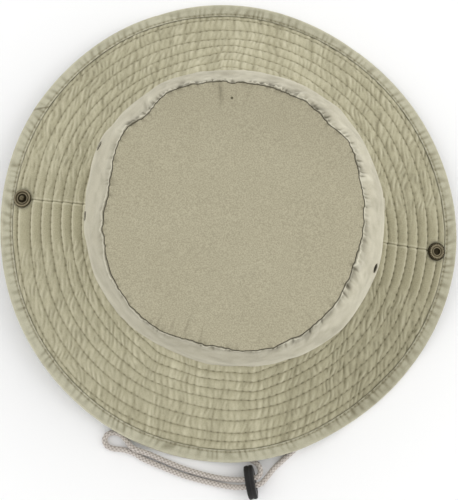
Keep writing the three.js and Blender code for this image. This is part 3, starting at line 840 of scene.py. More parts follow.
snapSetup = {
    "inset": 0.0154,
    "angle": {"right": 0, "left": 180},
    "pressed": (0.00575, 0.009),  # the quilting lies flat within the first reach from a snap
    "base": 0.00125,
    "columns": 192,
    "beads": 26,
    "beadReach": 0.0052,
    "beadWidth": 0.0008,
    "beadRise": 0.00022,
}
quiltSetup = {
    "flatRise": 0.0009,  # how far a channel swells between two rows
    "ridgeRise": 0.0015,  # the same beside the side seams, where it lies ungathered
    "gather": 0.95,
    "creasePitch": 0.0047,
    "longCrease": 0.00045,
    "rumple": 0.00022,
    "pebble": 0.00045,
    "holeSize": 0.00075,
    "holeDepth": 0.00028,
    "rowShadeWidth": 0.00045,
    "seamDepth": 0.00025,
    # how finely each side divides a channel, and how much of the rise it shows
    "above": {"cuts": [0, 0.04, 0.11, 0.24, 0.42, 0.6, 0.77, 0.89, 0.96], "rise": 1.0},
    "below": {"cuts": [0, 0.2, 0.7], "rise": 0.7},
}
# each noise's size across the hat, size from front to back, and seed
quiltNoise = {
    "drift": (0.02, 0.016, 22),
    "strength": (0.011, 0.019, 31),
    "streak": (0.0033, 0.035, 51),
    "rumple": (0.009, 0.012, 61),
    "pebble": (0.0026, 0.0046, 71),
}
# the four panel ends at the side seams, and how calm the quilting lies beside each
calmEnds = {
    "angle": [0, 180, 180, 360],
    "toward": [1, -1, 1, -1],
    "spread": [9, 7, 11.5, 11],
    "calm": [0.75, 0.4, 1.0, 1.0],
}
# how much darker the washed cloth is at each angle, or how much paler where the number is negative
brimWash = {
    "angle": [0, 45, 90, 135, 180, 225, 270, 315],
    "dark": [0.2, 0.08, 0.06, 0.08, -0.05, -0.12, -0.06, 0.26],
}


def clothNoise(name, x, y, seed=0):
    wide, long, first = quiltNoise[name]
    return softNoise(x / wide, y / long, first + seed)


def calmBeside(angles):
    calm = np.zeros(angles.shape)
    for angle, toward, spread, most in zip(*calmEnds.values()):
        away = (angles - angle) * toward
        near = most * (1 - ramp(away, spread, 1.5 * spread))
        calm = np.maximum(calm, np.where(away >= 0, near, 0))
    return calm


def needleHoles(phase, stitch, away, size):
    # how deep each spot lies in a needle hole, with one hole at each whole phase
    return bell(np.hypot(np.abs(phase - np.round(phase)) * stitch, away), size)


def washed(angles):
    # the darkening and the fading of the brim's washed cloth
    dark = around(brimWash, "dark", angles)[:, None]
    return np.maximum(dark, 0), np.maximum(-dark, 0)


def channelBounds(angles):
    # the tape's edge, each row of stitching, and the crown's seam
    start = column(angles, brimSetup["tapeWidth"] + brimSetup["tapeGap"])
    end = column(angles, brimSetup["width"] + brimSetup["crownTuck"])
    return np.concatenate([start, stitchRows(angles), end], 1)


def rowPhase(angles, insets):
    # stitches counted along lines of constant channel, a whole number to each line
    walked = walkedLength(brimMiddle(angles, np.minimum(insets, brimSetup["width"])))
    total = walked[-1:]
    return walked / total * np.round(total / brimSetup["stitch"])


def quilted(angles, cuts, seed):
    # insets, heights, painted shade and highlights, and washed tone of the quilted cloth; cuts divide
    # each channel between two rows
    bounds = channelBounds(angles)
    count = bounds.shape[1] - 1
    channel = np.append(np.repeat(np.arange(count), len(cuts)), count - 1)
    across = np.append(np.tile(cuts, count), 1.0)[None, :]
    outer = bounds[:, channel]
    inner = bounds[:, channel + 1]
    insets = outer + (inner - outer) * across
    middle = brimMiddle(angles, np.minimum(insets, brimSetup["width"]))
    walked = walkedLength(middle)
    x, y = middle[..., 0], middle[..., 1]
    channel = channel[None, :]
    calm = calmBeside(angles)[:, None]
    straight = ramp(np.abs(np.sin(np.radians(angles))), 0.75, 0.96)[:, None]

    # a channel swells evenly, or leans out over its outer row beside the side seams
    lean = across ** (1 - 0.42 * calm)
    arch = np.clip(np.sin(math.pi * lean), 0, 1) ** (0.5 + 0.4 * calm)
    # creases follow the cloth's grain, which runs from front to back
    shift = 0.5 * hashed(channel, 0, 21 + seed) * (1 - straight)
    turns = x / quiltSetup["creasePitch"] + shift + 0.55 * clothNoise("drift", x, y, seed)
    crease = np.abs(np.sin(math.pi * turns)) ** 0.5
    strength = np.clip(0.55 + 0.6 * clothNoise("strength", x, y, seed), 0, 1)
    gather = quiltSetup["gather"] * (1 - calm)
    folds = gather * strength * (1 - crease)
    swell = 1 + 0.25 * softNoise(walked / 0.017, channel * 7.0, 41 + seed)
    rise = quiltSetup["flatRise"] + (quiltSetup["ridgeRise"] - quiltSetup["flatRise"]) * calm
    rise = rise * np.clip((inner - outer) / 0.006, 0.1, 1)
    height = rise * arch * swell * (1 - folds)
    held = 0.4 + 0.6 * arch
    streak = clothNoise("streak", x, y) * gather * (0.5 + 0.5 * straight)
    pebble = clothNoise("pebble", x, y, seed) * (1 - 0.5 * calm)
    height += (quiltSetup["longCrease"] * streak + quiltSetup["pebble"] * pebble) * held
    height += quiltSetup["rumple"] * clothNoise("rumple", x, y) * held

    # needle holes at whole stitches, on both edges of a channel
    phases = rowPhase(angles, bounds)
    nearOuter = across < 0.5
    phase = np.where(nearOuter, phases[:, channel[0]], phases[:, channel[0] + 1])
    onRow = np.minimum(insets - outer, inner - insets)
    onSeam = ~(((channel == 0) & nearOuter) | ((channel == count - 1) & ~nearOuter))
    dots = needleHoles(phase, brimSetup["stitch"], onRow, quiltSetup["holeSize"]) * onSeam
    # painted shade along each row of stitching
    groove = bell(onRow, quiltSetup["rowShadeWidth"] + 0.0003 * calm) * onSeam
    height -= quiltSetup["holeDepth"] * dots
    # the snaps press the quilting flat
    for snapAngle in snapSetup["angle"].values():
        snap = onBrim(snapAngle, snapSetup["inset"])[0]
        height *= ramp(np.hypot(x - snap[0], y - snap[1]), *snapSetup["pressed"])

    # the panel's edge turns down into the side seam
    fromSeam = np.minimum(walked, walked[-1:] - walked)
    height -= quiltSetup["seamDepth"] * bell(fromSeam, 0.0005)
    height += 0.0002 * bell(fromSeam - 0.0014, 0.0009)

    # painted shade just inside the tape's edge
    shadeUnderTape = bell(insets - brimSetup["tapeWidth"] - 0.0003, 0.0005)
    dark, faded = washed(angles)
    # painted shade in grooves, needle holes and creases, just inside the tape's edge, on the
    # crown-facing slope of calm channels, beside the side seams and on the low side of streaks and
    # pebbles; dark is the darker washed cloth
    shadeAndStain = 0.3 * groove + 0.26 * dots + 0.25 * folds * arch + 0.22 * shadeUnderTape + dark
    shadeAndStain += 0.12 * calm * ramp(across, 0.5, 1.0) + 0.2 * bell(fromSeam, 0.0004)
    shadeAndStain += 0.14 * np.maximum(-streak, 0) + 0.14 * np.maximum(-pebble, 0)
    # painted highlight on the outward slope beside each row, on the puffs between creases, on high
    # streaks and pebbles and beside the side seams; faded is the paler washed cloth
    wearAndHighlight = 0.9 * calm * bell(across - 0.12, 0.09) + 0.3 * (1 - calm) * arch * crease + faded
    wearAndHighlight += 0.5 * np.maximum(streak, 0) * gather + 0.8 * bell(fromSeam - 0.001, 0.0005)
    wearAndHighlight += 0.15 * np.maximum(pebble, 0)
    return {
        "insets": insets,
        "height": height,
        "shadeAndStain": shadeAndStain,
        "wearAndHighlight": wearAndHighlight,
        "gathered": gather * (1 - 0.42 * straight) * arch ** 0.5,
        "place": np.stack([x, y, np.zeros_like(x)], -1),
    }


stitchSetup = {
    "radius": 0.00023,
    "sink": 0.00006,
    "arch": 0.00012,
    "above": {"along": [0.08, 0.28, 0.5, 0.72, 0.92], "sides": 5},
    "below": {"along": [0.1, 0.5, 0.9], "sides": 4},
}
sewn = {"points": [], "faces": [], "places": [], "count": 0}


def sewAlong(line, outward, phase, build):
    # short arched threads from needle hole to needle hole, lying on the line
    whole = np.arange(int(round(phase[-1])))
    along = np.array(build["along"])
    index = np.interp(whole[:, None] + along[None, :], phase, np.arange(len(line)))
    base = np.minimum(np.floor(index).astype(int), len(line) - 2)
    share = (index - base)[..., None]
    spot = line[base] * (1 - share) + line[base + 1] * share
    up = unit(outward[base])
    run = unit(np.gradient(spot, axis=1))
    side = unit(np.cross(run, up))
    rise = stitchSetup["arch"] * np.sin(math.pi * along)[None, :, None] - stitchSetup["sink"]
    spot = spot + up * rise
    sides = build["sides"]
    turn = evenTurns(sides)
    taper = np.clip(4 * np.minimum(along, 1 - along), 0, 1) ** 0.5 * stitchSetup["radius"]
    ring = (side[:, :, None] * np.cos(turn)[None, None, :, None]
        + up[:, :, None] * np.sin(turn)[None, None, :, None]) * taper[None, :, None, None]
    points = spot[:, :, None] + ring
    tube = gridFaces(len(along), sides, closeColumns=True)
    ends = [list(range(sides))[::-1], list(range((len(along) - 1) * sides, len(along) * sides))]
    step = len(along) * sides
    for stitch in range(len(whole)):
        first = sewn["count"] + stitch * step
        sewn["faces"] += (tube + first).tolist()
        sewn["faces"] += [[corner + first for corner in end] for end in ends]
    place = np.zeros(points.shape)
    place[..., 0] = (whole[:, None, None] + along[None, :, None]) * brimSetup["stitch"]
    place[..., 1] = turn[None, None, :] * stitchSetup["radius"]
    sewn["points"].append(points.reshape(-1, 3))
    sewn["places"].append(place.reshape(-1, 3))
    sewn["count"] += len(whole) * step


def makeBrimPanel(name, node, firstAngle, lastAngle, seed):
    angles = np.linspace(firstAngle, lastAngle, brimSetup["columns"] + 1)
    phases = rowPhase(angles, channelBounds(angles))
    parts = []
    for side, layer in ((1, "above"), (-1, "below")):
        cuts = quiltSetup[layer]["cuts"]
        cloth = quilted(angles, cuts, seed)
        lift = brimSetup["half"] + cloth["height"] * quiltSetup[layer]["rise"]
        flat = np.minimum(cloth["insets"], brimSetup["width"])
        points = brimSurface(angles, flat, side * lift)
        if side < 0:
            points[..., 2] = np.maximum(points[..., 2], brimSetup["clearance"])
        outward = side * brimNormals(angles, flat)
        for row in range(1, brimSetup["rowCount"] + 1):
            at = row * len(cuts)
            sewAlong(points[:, at], outward[:, at], phases[:, row], stitchSetup[layer])
        # one more column hides under the tape
        tucked = column(angles, brimSetup["tapeWidth"] - brimSetup["tapeTuck"])
        hidden = brimSurface(angles, tucked, column(angles, side * brimSetup["half"]))
        none = column(angles, 0.0)
        # the hidden column under the tape is painted in full shade
        grids = [np.concatenate(pair, 1) for pair in (
            (hidden, points), (cloth["place"][:, :1], cloth["place"]),
            (none + 1, cloth["shadeAndStain"]), (none, cloth["wearAndHighlight"]), (none, cloth["gathered"]),
        )]
        parts.append([grid if side > 0 else grid[:, ::-1] for grid in grids])
    points, place, shadeAndStain, wearAndHighlight, gathered = [np.concatenate(pair, 1) for pair in zip(*parts)]
    rows, columns = points.shape[:2]
    faces = gridFaces(rows, columns, closeColumns=True).tolist()
    faces.append(list(range(columns)))
    faces.append(list(range((rows - 1) * columns, rows * columns))[::-1])
    values = {"shadeAndStain": shadeAndStain, "wearAndHighlight": wearAndHighlight, "gathered": gathered, "clothPlace": place}
    return makePiece(name, points, faces, brimCotton, [node], values)


seamGap = brimSetup["seamGap"]
brimFront = makeBrimPanel("brimFront", "brim_front", 180 + seamGap, 360 - seamGap, 1)
brimBack = makeBrimPanel("brimBack", "brim_back", seamGap, 180 - seamGap, 2)
print("brim panels are made")

tapeSetup = {
    "columns": 1320,
    "outer": 0.0018,  # the tape's outside and its lining, from the middle of the brim
    "inner": 0.0009,
    "nose": 0.0013,  # where the tape starts to turn round the edge
    "sewing": 0.0079,  # where its stitches run
    "stitch": 0.0034,
    "middleReach": 0.163,
    "pucker": 0.0062,
    "puckerDepth": 0.0006,
    "lapOuter": 156.4,
    "lapInner": 153.6,
    "lapRise": 0.00055,
    "holeSize": 0.0008,
    "holeDepth": 0.00018,
    "valleySize": 0.0005,  # the groove that the stitches draw along the tape
    "valleyDepth": 0.0004,
    "bead": 0.0087,  # the raised line beside the tape's inner edge
    "beadRise": 0.00016,
    "edgeDrop": 0.0007,
}


def makeTape(setup):
    width = brimSetup["tapeWidth"]
    sewing = setup["sewing"]
    angles = evenAngles(setup["columns"])
    bead = setup["bead"]
    near = [width, width - 0.0002, bead, bead - 0.0004, sewing, sewing - 0.0004]
    flat = np.concatenate([near, np.linspace(sewing - 0.001, setup["nose"], 8)])
    below = flat[::-2]
    bend = np.linspace(0, math.pi, 9)[1:-1]
    outside = np.concatenate([flat, setup["nose"] * (1 - np.sin(bend)), below])
    outsideLift = np.concatenate([np.ones(len(flat)), np.cos(bend), -np.ones(len(below))])
    lining = np.linspace(width, setup["nose"] + 0.0006, 4)
    inside = np.concatenate([lining, lining[::-1]])
    insideLift = np.repeat([-1.0, 1.0], len(lining)) * setup["inner"]

    insets = np.broadcast_to(outside, (len(angles), len(outside)))
    walked = np.radians(angles)[:, None] * setup["middleReach"]
    whole = 2 * math.pi * setup["middleReach"]
    count = round(whole / setup["pucker"])
    turn = angles[:, None]
    slant = ringNoise(turn, 0.017, 0, 70) * (insets / width - 0.5)
    phase = turn / 360 * count + 0.7 * ringNoise(turn, 0.006, 0, 71) + 0.7 * slant
    strength = 0.55 + 0.45 * ringNoise(turn, 0.0035, insets / 0.02, 72)
    fold = phase - np.round(phase)
    crease = bell(fold, 0.2)
    reachIn = ramp(insets, 0.0012, 0.0055)
    pinched = crease * strength * (0.35 + 0.65 * reachIn)
    height = setup["outer"] - setup["puckerDepth"] * pinched
    height += 0.0001 * softNoise(insets / 0.003, 8 * np.cos(np.radians(angles) * 9)[:, None], 73)
    along = sewing - insets
    holes = round(whole / setup["stitch"])
    holePhase = walked / whole * holes
    dots = needleHoles(holePhase, setup["stitch"], along, setup["holeSize"])
    valley = bell(along, setup["valleySize"])
    height -= setup["valleyDepth"] * valley + setup["holeDepth"] * dots
    height += setup["beadRise"] * bell(insets - bead, 0.0004)
    height -= setup["edgeDrop"] * ramp(insets, width - 0.001, width)
    # one end of the tape laps over the other on a slant
    lapAngle = setup["lapOuter"] + (setup["lapInner"] - setup["lapOuter"]) * insets / width
    fromLap = turnBetween(angles[:, None], lapAngle) * math.radians(1) * setup["middleReach"]
    lap = ramp(-fromLap, -0.0003, 0.0003) * (1 - ramp(-fromLap, 0.004, 0.02))
    height += setup["lapRise"] * lap
    points = brimSurface(angles, insets, height * outsideLift)
    linedInsets = np.broadcast_to(inside, (len(angles), len(inside)))
    lined = brimSurface(angles, linedInsets, np.broadcast_to(insideLift, linedInsets.shape))
    sewingColumn = len(near) - 2
    line = np.concatenate([points[:, sewingColumn], points[:1, sewingColumn]])
    outward = brimNormals(angles, insets)[:, sewingColumn]
    outward = np.concatenate([outward, outward[:1]])
    sewAlong(line, outward, np.append(holePhase[:, 0], holes), stitchSetup["above"])

    points = np.concatenate([points, lined], 1)
    points[..., 2] = np.maximum(points[..., 2], 0)
    dark, faded = washed(angles)
    # painted shade in the pucker creases, the stitch valley and holes, and the shadow that the lapped
    # end casts; dark is the darker washed cloth, and the noise a darker mottling
    shadeAndStain = 0.5 * pinched + 0.35 * valley + 0.4 * dots + 0.7 * bell(fromLap - 0.0003, 0.0006)
    shadeAndStain += dark + 0.25 * np.maximum(-ringNoise(turn, 0.002, insets / 0.003, 74), 0)
    # painted highlight on the raised bead and between the puckers; faded is the paler washed cloth, and
    # the colour pales toward the rolled outer edge
    wearAndHighlight = 0.9 * bell(insets - bead, 0.00035) + 0.4 * bell(np.abs(fold) - 0.35, 0.2) * reachIn
    wearAndHighlight += faded + 0.35 * ramp(-insets, -0.004, -0.0015)
    nothing = np.zeros(linedInsets.shape)
    place = np.stack([np.broadcast_to(walked, insets.shape), insets, np.zeros(insets.shape)], -1)
    # the lining underneath is painted in half shade
    values = {
        "shadeAndStain": np.concatenate([shadeAndStain, nothing + 0.5], 1),
        "wearAndHighlight": np.concatenate([wearAndHighlight, nothing], 1),
        "clothPlace": np.concatenate([place, np.stack([nothing, linedInsets, nothing], -1)], 1),
    }
    faces = gridFaces(points.shape[0], points.shape[1], closeRows=True, closeColumns=True)
    return makePiece("brimTape", points, faces, tapeCotton, ["brim_binding"], values)


brimTape = makeTape(tapeSetup)
makePiece("stitches", np.vstack(sewn["points"]), sewn["faces"], sewingThread,
    values={"clothPlace": np.vstack(sewn["places"])})
print("tape and stitches are made")


crownSetup = {
    "cloth": 0.0014,
    "gap": 0.0003,
    "columns": 960,
    "levels": 60,
    "foldHeight": 0.22,
    "tipLevel": 0.114,
    "tipRise": 0.0015,
    "lipDrop": 0.0001,  # how far the wall's lip stays under the tip's edge
    "seamHalf": 0.00015,  # half the dark line between the two
    "tuckLean": 150,
    "deepest": 0.0011,  # no fold of the wall sinks further
    "insideLevels": [(0.955, 0.68, 3), (0.65, 0.4, 13), (0.26, 0, 3)],
    "tipRings": [(0, 0.84, 22), (0.848, 0.9, 9), (0.912, 0.975, 7), (0.982, 0.998, 5)],
    "speck": (-0.0073, 0.0689),
}
# each noise's size round the crown, size up the wall, seed, and how far it lifts the cloth; the
# last two only colour it
wallNoise = {
    "drape": (0.021, 0.02, 81, 0.0012),
    "ripple": (0.009, 0.011, 82, 0.0006),
    "leaning": (0.0042, 0.026, 84, 0.001),
    "tucks": (0.0013, 0.02, 83, 0.0008),
    "gathers": (0.003, 0.01, 85, 0.0004),
    "blotches": (0.011, 0.008, 87, 0),
    "mottling": (0.004, 0.004, 88, 0),
}
# how strongly the wall is gathered, and how much darker it is coloured, at each angle
wallWear = {
    "angle": [0, 45, 90, 130, 160, 200, 240, 280, 320],
    "gather": [0.9, 1.0, 1.0, 1.0, 0.5, 0.35, 0.45, 0.6, 0.9],
    "dark": [0.0, 0.03, 0.1, 0.09, 0.02, 0.05, 0.15, 0.17, 0.07],
}
# short creases on the tip beside its seam: where each lies, and how long, wide and deep it is
tipCreases = {
    "angle": [258, 265, 252, 88, 94, 102, 70, 246, 312],
    "inset": [0.007, 0.006, 0.006, 0.008, 0.009, 0.006, 0.006, 0.005, 0.006],
    "reach": [0.007, 0.005, 0.005, 0.007, 0.006, 0.009, 0.005, 0.004, 0.005],
    "width": [0.0007, 0.0006, 0.0006, 0.0007, 0.0006, 0.0017, 0.0006, 0.0006, 0.0007],
    "depth": [0.0004, 0.0003, 0.0003, 0.0002, 0.0002, 0.0006, 0.0002, 0.0003, 0.0002],
}


# the edges of tip and wall, which turn down into the seam between them, step by step, and the painted
# shade on each step
tipRim = {
    "out": np.array([0.0, 0.00004, 0.0, -0.0005]),
    "drop": np.array([0.00012, 0.0006, 0.0011, 0.0014]),
    "dark": [0.7, 1, 1, 1],
}
wallLip = {
    "out": np.array([0.0, 0.0, -0.0006]),
    "drop": np.array([0.0002, 0.0008, 0.0017]),
    "dark": [0.65, 1, 1],
}


def crownNoise(name, turn, along):
    wide, tall, seed = wallNoise[name][:3]
    return ringNoise(turn, wide, along / tall, seed)


def seamReach(angles):
    # the tip's seam, pulled about a little by hand and by the tucks
    wander = 0.0003 * ringNoise(angles, 0.0021, 0, 91) + 0.0006 * ringNoise(angles, 0.006, 0, 92)
    return around(tipSeam, "reach", angles) - crownSetup["seamHalf"] - 0.0003 + wander


def splineThrough(a, b, c, t):
    # a curve through three points, t from 0 to 2
    first = (t < 1)[..., None]
    local = (t - (t >= 1))[..., None]
    start = np.where(first, a[:, None], b[:, None])
    end = np.where(first, b[:, None], c[:, None])
    startWay = np.where(first, (b - a)[:, None] / 2, (c - a)[:, None] / 2)
    endWay = np.where(first, (c - a)[:, None] / 2, (c - b)[:, None] / 2)
    return hermite(start, startWay, end, endWay, local)


def wallPoints(angles, levels, lift):
    # points, climb and full height; levels run from 0 at the brim to 1 at the tip's seam
    footInset = column(angles, brimSetup["width"] - crownSetup["gap"] - crownSetup["cloth"])
    foot = brimSurface(angles, footInset, column(angles, brimSetup["half"] + crownSetup["gap"]))[:, 0]
    footReach = np.hypot(foot[:, 0] - axis[0], foot[:, 1] - axis[1])
    knots = [np.stack([footReach, foot[:, 2]], -1), outline(wallWaist, angles),
        outline(tipSeam, angles) - (0, crownSetup["lipDrop"])]
    t = np.broadcast_to(np.linspace(0, 2, 81), (len(angles), 81))
    lengths = walkedLength(splineThrough(*knots, t), 1)
    share = lookUp(levels * lengths[:, -1:], lengths, t[0])
    further = splineThrough(*knots, np.minimum(share + 0.02, 2))
    ahead = unit(further - splineThrough(*knots, np.maximum(share - 0.02, 0)))
    outward = np.stack([ahead[..., 1], -ahead[..., 0]], -1)
    spot = splineThrough(*knots, share) + outward * lift[..., None]
    dent = np.zeros(levels.shape)
    for angle, spread, depth, level in zip(*wallFolds.values()):
        dent += depth * beside(angles, angle, spread) * bell(levels - level, crownSetup["foldHeight"])
    reach = spot[..., 0] - dent * np.sin(math.pi * levels)
    return placed(reach, angles, spot[..., 1]), levels * lengths[:, -1:], lengths[:, -1:]


def ventFrame(index):
    angles = np.array([float(vents["angle"][index])])
    levels = np.array([[vents["level"][index]]])
    outside = wallPoints(angles, levels, np.zeros((1, 1)))[0][0, 0]
    inside = wallPoints(angles, levels, np.full((1, 1), -crownSetup["cloth"]))[0][0, 0]
    return (outside + inside) / 2, unit(outside - inside)


def cutHole(points, faces, middle, outward, radius):
    # faces within the radius go, and the points left round the hole move on to its circle
    offset = points - middle
    along = offset @ outward
    flat = offset - along[:, None] * outward
    away = np.linalg.norm(flat, axis=1)
    near = (away < 1.6 * radius) & (np.abs(along) < 2 * radius)
    centre = points[faces].mean(1) - middle
    centreAlong = centre @ outward
    centreAway = np.linalg.norm(centre - centreAlong[:, None] * outward, axis=1)
    gone = (centreAway < radius) & (np.abs(centreAlong) < 2 * radius)
    kept = faces[~gone]
    edge = near & np.isin(np.arange(len(points)), faces[gone]) & np.isin(np.arange(len(points)), kept)
    points[edge] += flat[edge] * (radius / away[edge] - 1)[:, None]
    return kept


def makeWall(setup):
    angles = evenAngles(setup["columns"])
    turn = angles[:, None]
    steps = np.linspace(0, 1, setup["levels"])
    # levels crowd together toward the seam
    levels = np.broadcast_to(steps + 0.28 * np.sin(math.pi * steps) * steps, (len(angles), len(steps)))
    climbed, tall = wallPoints(angles, levels, np.zeros(levels.shape))[1:]
    below = tall - climbed

    # broad drape, then leaning folds and close tucks gathered into the tip's seam
    gathered = around(wallWear, "gather", angles)[:, None]
    leaning = crownNoise("leaning", turn + setup["tuckLean"] * below, below)
    leaning = leaning * bell(below - 0.008, 0.015) * gathered
    tucks = crownNoise("tucks", turn, below) * bell(below - 0.004, 0.008) * gathered
    folds = {
        "drape": crownNoise("drape", turn, climbed),
        "ripple": crownNoise("ripple", turn, climbed),
        "leaning": leaning,
        "tucks": tucks,
        "gathers": crownNoise("gathers", turn, climbed) * bell(climbed, 0.006),
    }
    lift = sum(wallNoise[name][3] * fold for name, fold in folds.items())
    # no fold is deeper than the cloth is thick, and the seam's edge stays outermost
    sunk = setup["deepest"] * ramp(below, 0.0003, 0.005) * np.tanh(-lift / setup["deepest"])
    lift = np.where(lift < 0, -sunk, lift * ramp(below, -0.0012, 0.0012))
    lip = bell(below - 0.0008, 0.0006)
    lift += 0.0006 * lip * (1 + 0.5 * tucks)
    outer = wallPoints(angles, levels, lift)[0]
    spoke = np.stack([np.cos(np.radians(angles)), np.sin(np.radians(angles)), 0 * angles], -1)
    seam = seamReach(angles) + setup["seamHalf"]
    pull = (seam - around(tipSeam, "reach", angles))[:, None] * bell(below, 0.004)
    outer += pull[..., None] * spoke[:, None]
    # the edge turns down into the seam
    top = around(tipSeam, "height", angles)[:, None] - setup["lipDrop"]
    edge = placed(seam[:, None] + wallLip["out"], angles, top - wallLip["drop"])
    # the inside is plain, but fine enough for the vents' holes
    inside = np.concatenate([np.linspace(*span) for span in setup["insideLevels"]])
    inLevels = np.repeat(inside[None, :], len(angles), 0)
    inner = wallPoints(angles, inLevels, np.full(inLevels.shape, -setup["cloth"]))[0]

    # darker and paler blotches over the wall
    blotches = 0.5 * crownNoise("blotches", turn, climbed) + 0.5 * crownNoise("mottling", turn, climbed)
    # painted shade in the tucks and leaning folds, in the seam's line and at the wall's foot against the
    # brim; the blotches, a band a little below the seam and the wallWear table darken the colour
    shadeAndStain = 0.48 * ramp(-tucks, 0.06, 0.55) + 0.33 * ramp(-leaning, 0.08, 0.65)
    shadeAndStain += 0.4 * bell(below, 0.0002) + 0.25 * bell(climbed, 0.002)
    shadeAndStain += (0.1 + 0.2 * gathered) * np.maximum(blotches, 0)
    shadeAndStain += 0.16 * bell(below - 0.005, 0.004) + around(wallWear, "dark", angles)[:, None]
    # painted highlight on the lip's roll and on the ridges of tucks and leaning folds; a band round the
    # middle and the blotches pale the colour
    wearAndHighlight = lip + 0.5 * ramp(tucks, 0.1, 0.7) + 0.45 * ramp(leaning, 0.1, 0.7)
    wearAndHighlight += 0.35 * bell(levels - 0.42, 0.12) + (0.15 + 0.25 * gathered) * np.maximum(-blotches, 0)
    within = np.concatenate([edge, inner], 1)
    points = np.concatenate([outer, within], 1)
    # the lip's turn into the seam and the inside are painted in shade
    dark = np.broadcast_to(wallLip["dark"] + [0.25] * len(inside), within.shape[:2])
    rise = np.concatenate([climbed, within[..., 2]], 1)
    values = {
        "shadeAndStain": np.concatenate([shadeAndStain, dark], 1),
        "wearAndHighlight": np.concatenate([wearAndHighlight, 0 * dark], 1),
        "clothPlace": np.stack([rise, points[..., 0], points[..., 1]], -1),
    }
    faces = gridFaces(points.shape[0], points.shape[1], closeRows=True, closeColumns=True)
    points = points.reshape(-1, 3)
    for index in range(len(vents["angle"])):
        faces = cutHole(points, faces, *ventFrame(index), eyeletSetup["reach"])
    return makePiece("crownWall", points, faces, sideCotton,
        ["crown_side_left", "crown_side_right"], values)


def makeTip(setup):
    angles = evenAngles(setup["columns"])
    turn = np.radians(angles)[:, None]
    edge = (seamReach(angles) - setup["seamHalf"])[:, None]
    rimHeight = around(tipSeam, "height", angles)[:, None]
    # rings crowd together toward the seam
    shares = np.concatenate([np.linspace(*span) for span in setup["tipRings"]])
    reach = edge * shares

    def dome(shares):
        level = setup["tipLevel"] + (rimHeight - setup["tipLevel"]) * shares
        return level + setup["tipRise"] * (1 - shares ** 2)

    level = dome(shares)
    x = reach * np.cos(turn)
    y = reach * np.sin(turn)
    inset = edge - reach
    level += 0.0008 * softNoise(x / 0.035, y / 0.03, 92) * ramp(inset, 0, 0.012)
    level += 0.0002 * softNoise(x / 0.007, y / 0.009, 93)
    tuck = ringNoise(angles[:, None], 0.0022, 0, 94)
    level += 0.00025 * tuck * bell(inset, 0.003)
    tipCreaseShade = np.zeros(reach.shape)
    for angle, middle, length, width, depth in zip(*tipCreases.values()):
        sideways = turnBetween(angles, angle)[:, None] * math.radians(1) * reach
        mark = bell(sideways, width) * bell(inset - middle, length)
        level -= depth * mark
        tipCreaseShade = np.maximum(tipCreaseShade, mark * min(depth / 0.0005, 1))
    top = placed(reach, angles, level)
    rim = placed(edge + tipRim["out"], angles, rimHeight - tipRim["drop"])
    under = np.linspace(0.97, 0, 5)
    base = placed(edge * under, angles, dome(under) - setup["cloth"])
    points = np.concatenate([top, rim, base], 1)
    speckX, speckY = setup["speck"]
    speck = 1 - ramp(np.hypot(x - speckX, y - speckY), 0.0005, 0.0011)
    # painted shade in the tucks and creases beside the seam, over the tip's back where it slopes away,
    # and in the seam's line; the speck is a dark spot on the cloth
    shadeAndStain = 0.3 * ramp(-tuck, 0.1, 0.7) * bell(inset, 0.0025) + 0.3 * tipCreaseShade + speck
    shadeAndStain += 0.06 * ramp(y, 0.025, 0.06) + 0.6 * bell(inset, 0.0002)
    # the rim's turn into the seam and the underside are painted in shade
    dark = tipRim["dark"] + [0.3] * len(under)
    dark = np.broadcast_to(dark, (len(angles), len(dark)))
    values = {"shadeAndStain": np.concatenate([shadeAndStain, dark], 1), "clothPlace": points}
    faces = gridFaces(points.shape[0], points.shape[1], closeRows=True)
    return makePiece("crownTip", points, faces, tipCotton, ["crown_top"], values, merge=True)


eyeletSetup = {
    "reach": 0.0037,
    "half": 0.0006,
    "thick": 0.001,
    "winds": 36,
    "columns": 216,
    "sides": 12,
}


def spunShape(middle, outward, radius, lift):
    # a shape turned about a direction, from its radius and its lift at each step of the turn
    side = unit(np.cross(outward, (0.0, 0.0, 1.0)))
    turn = evenTurns(len(lift))[:, None]
    spoke = side * np.cos(turn) + np.cross(outward, side) * np.sin(turn)
    return middle + spoke[:, None, :] * radius[..., None] + outward * lift[..., None]


def makeEyelets(setup):
    rim = evenTurns(setup["sides"])
    turn = evenTurns(setup["columns"])[:, None]
    wind = np.abs(np.sin(turn * setup["winds"] / 2)) ** 0.7
    # painted shade between the winds and on the ring's inner side, toward the hole
    shadeAndStain = (1 - wind) * 0.7 + 0.9 * ramp(-np.cos(rim), 0.3, 0.9)
    place = np.stack(np.broadcast_arrays(turn * setup["reach"], rim * 0.001, 0), -1)
    faces = gridFaces(*shadeAndStain.shape, closeRows=True, closeColumns=True)
    for index, name in enumerate(vents["name"]):
        wound = 0.0001 * wind + 0.00006 * softNoise(turn * 3, 0, 101 + index)
        radius = setup["reach"] + (setup["half"] + wound) * np.cos(rim)
        points = spunShape(*ventFrame(index), radius, (setup["thick"] + wound) * np.sin(rim))
        makePiece(name, points, faces, eyeletThread, [vents["node"][index]],
            {"shadeAndStain": shadeAndStain, "clothPlace": place})


crownWall = makeWall(crownSetup)
crownTip = makeTip(crownSetup)
makeEyelets(eyeletSetup)
print("crown and eyelets are made")

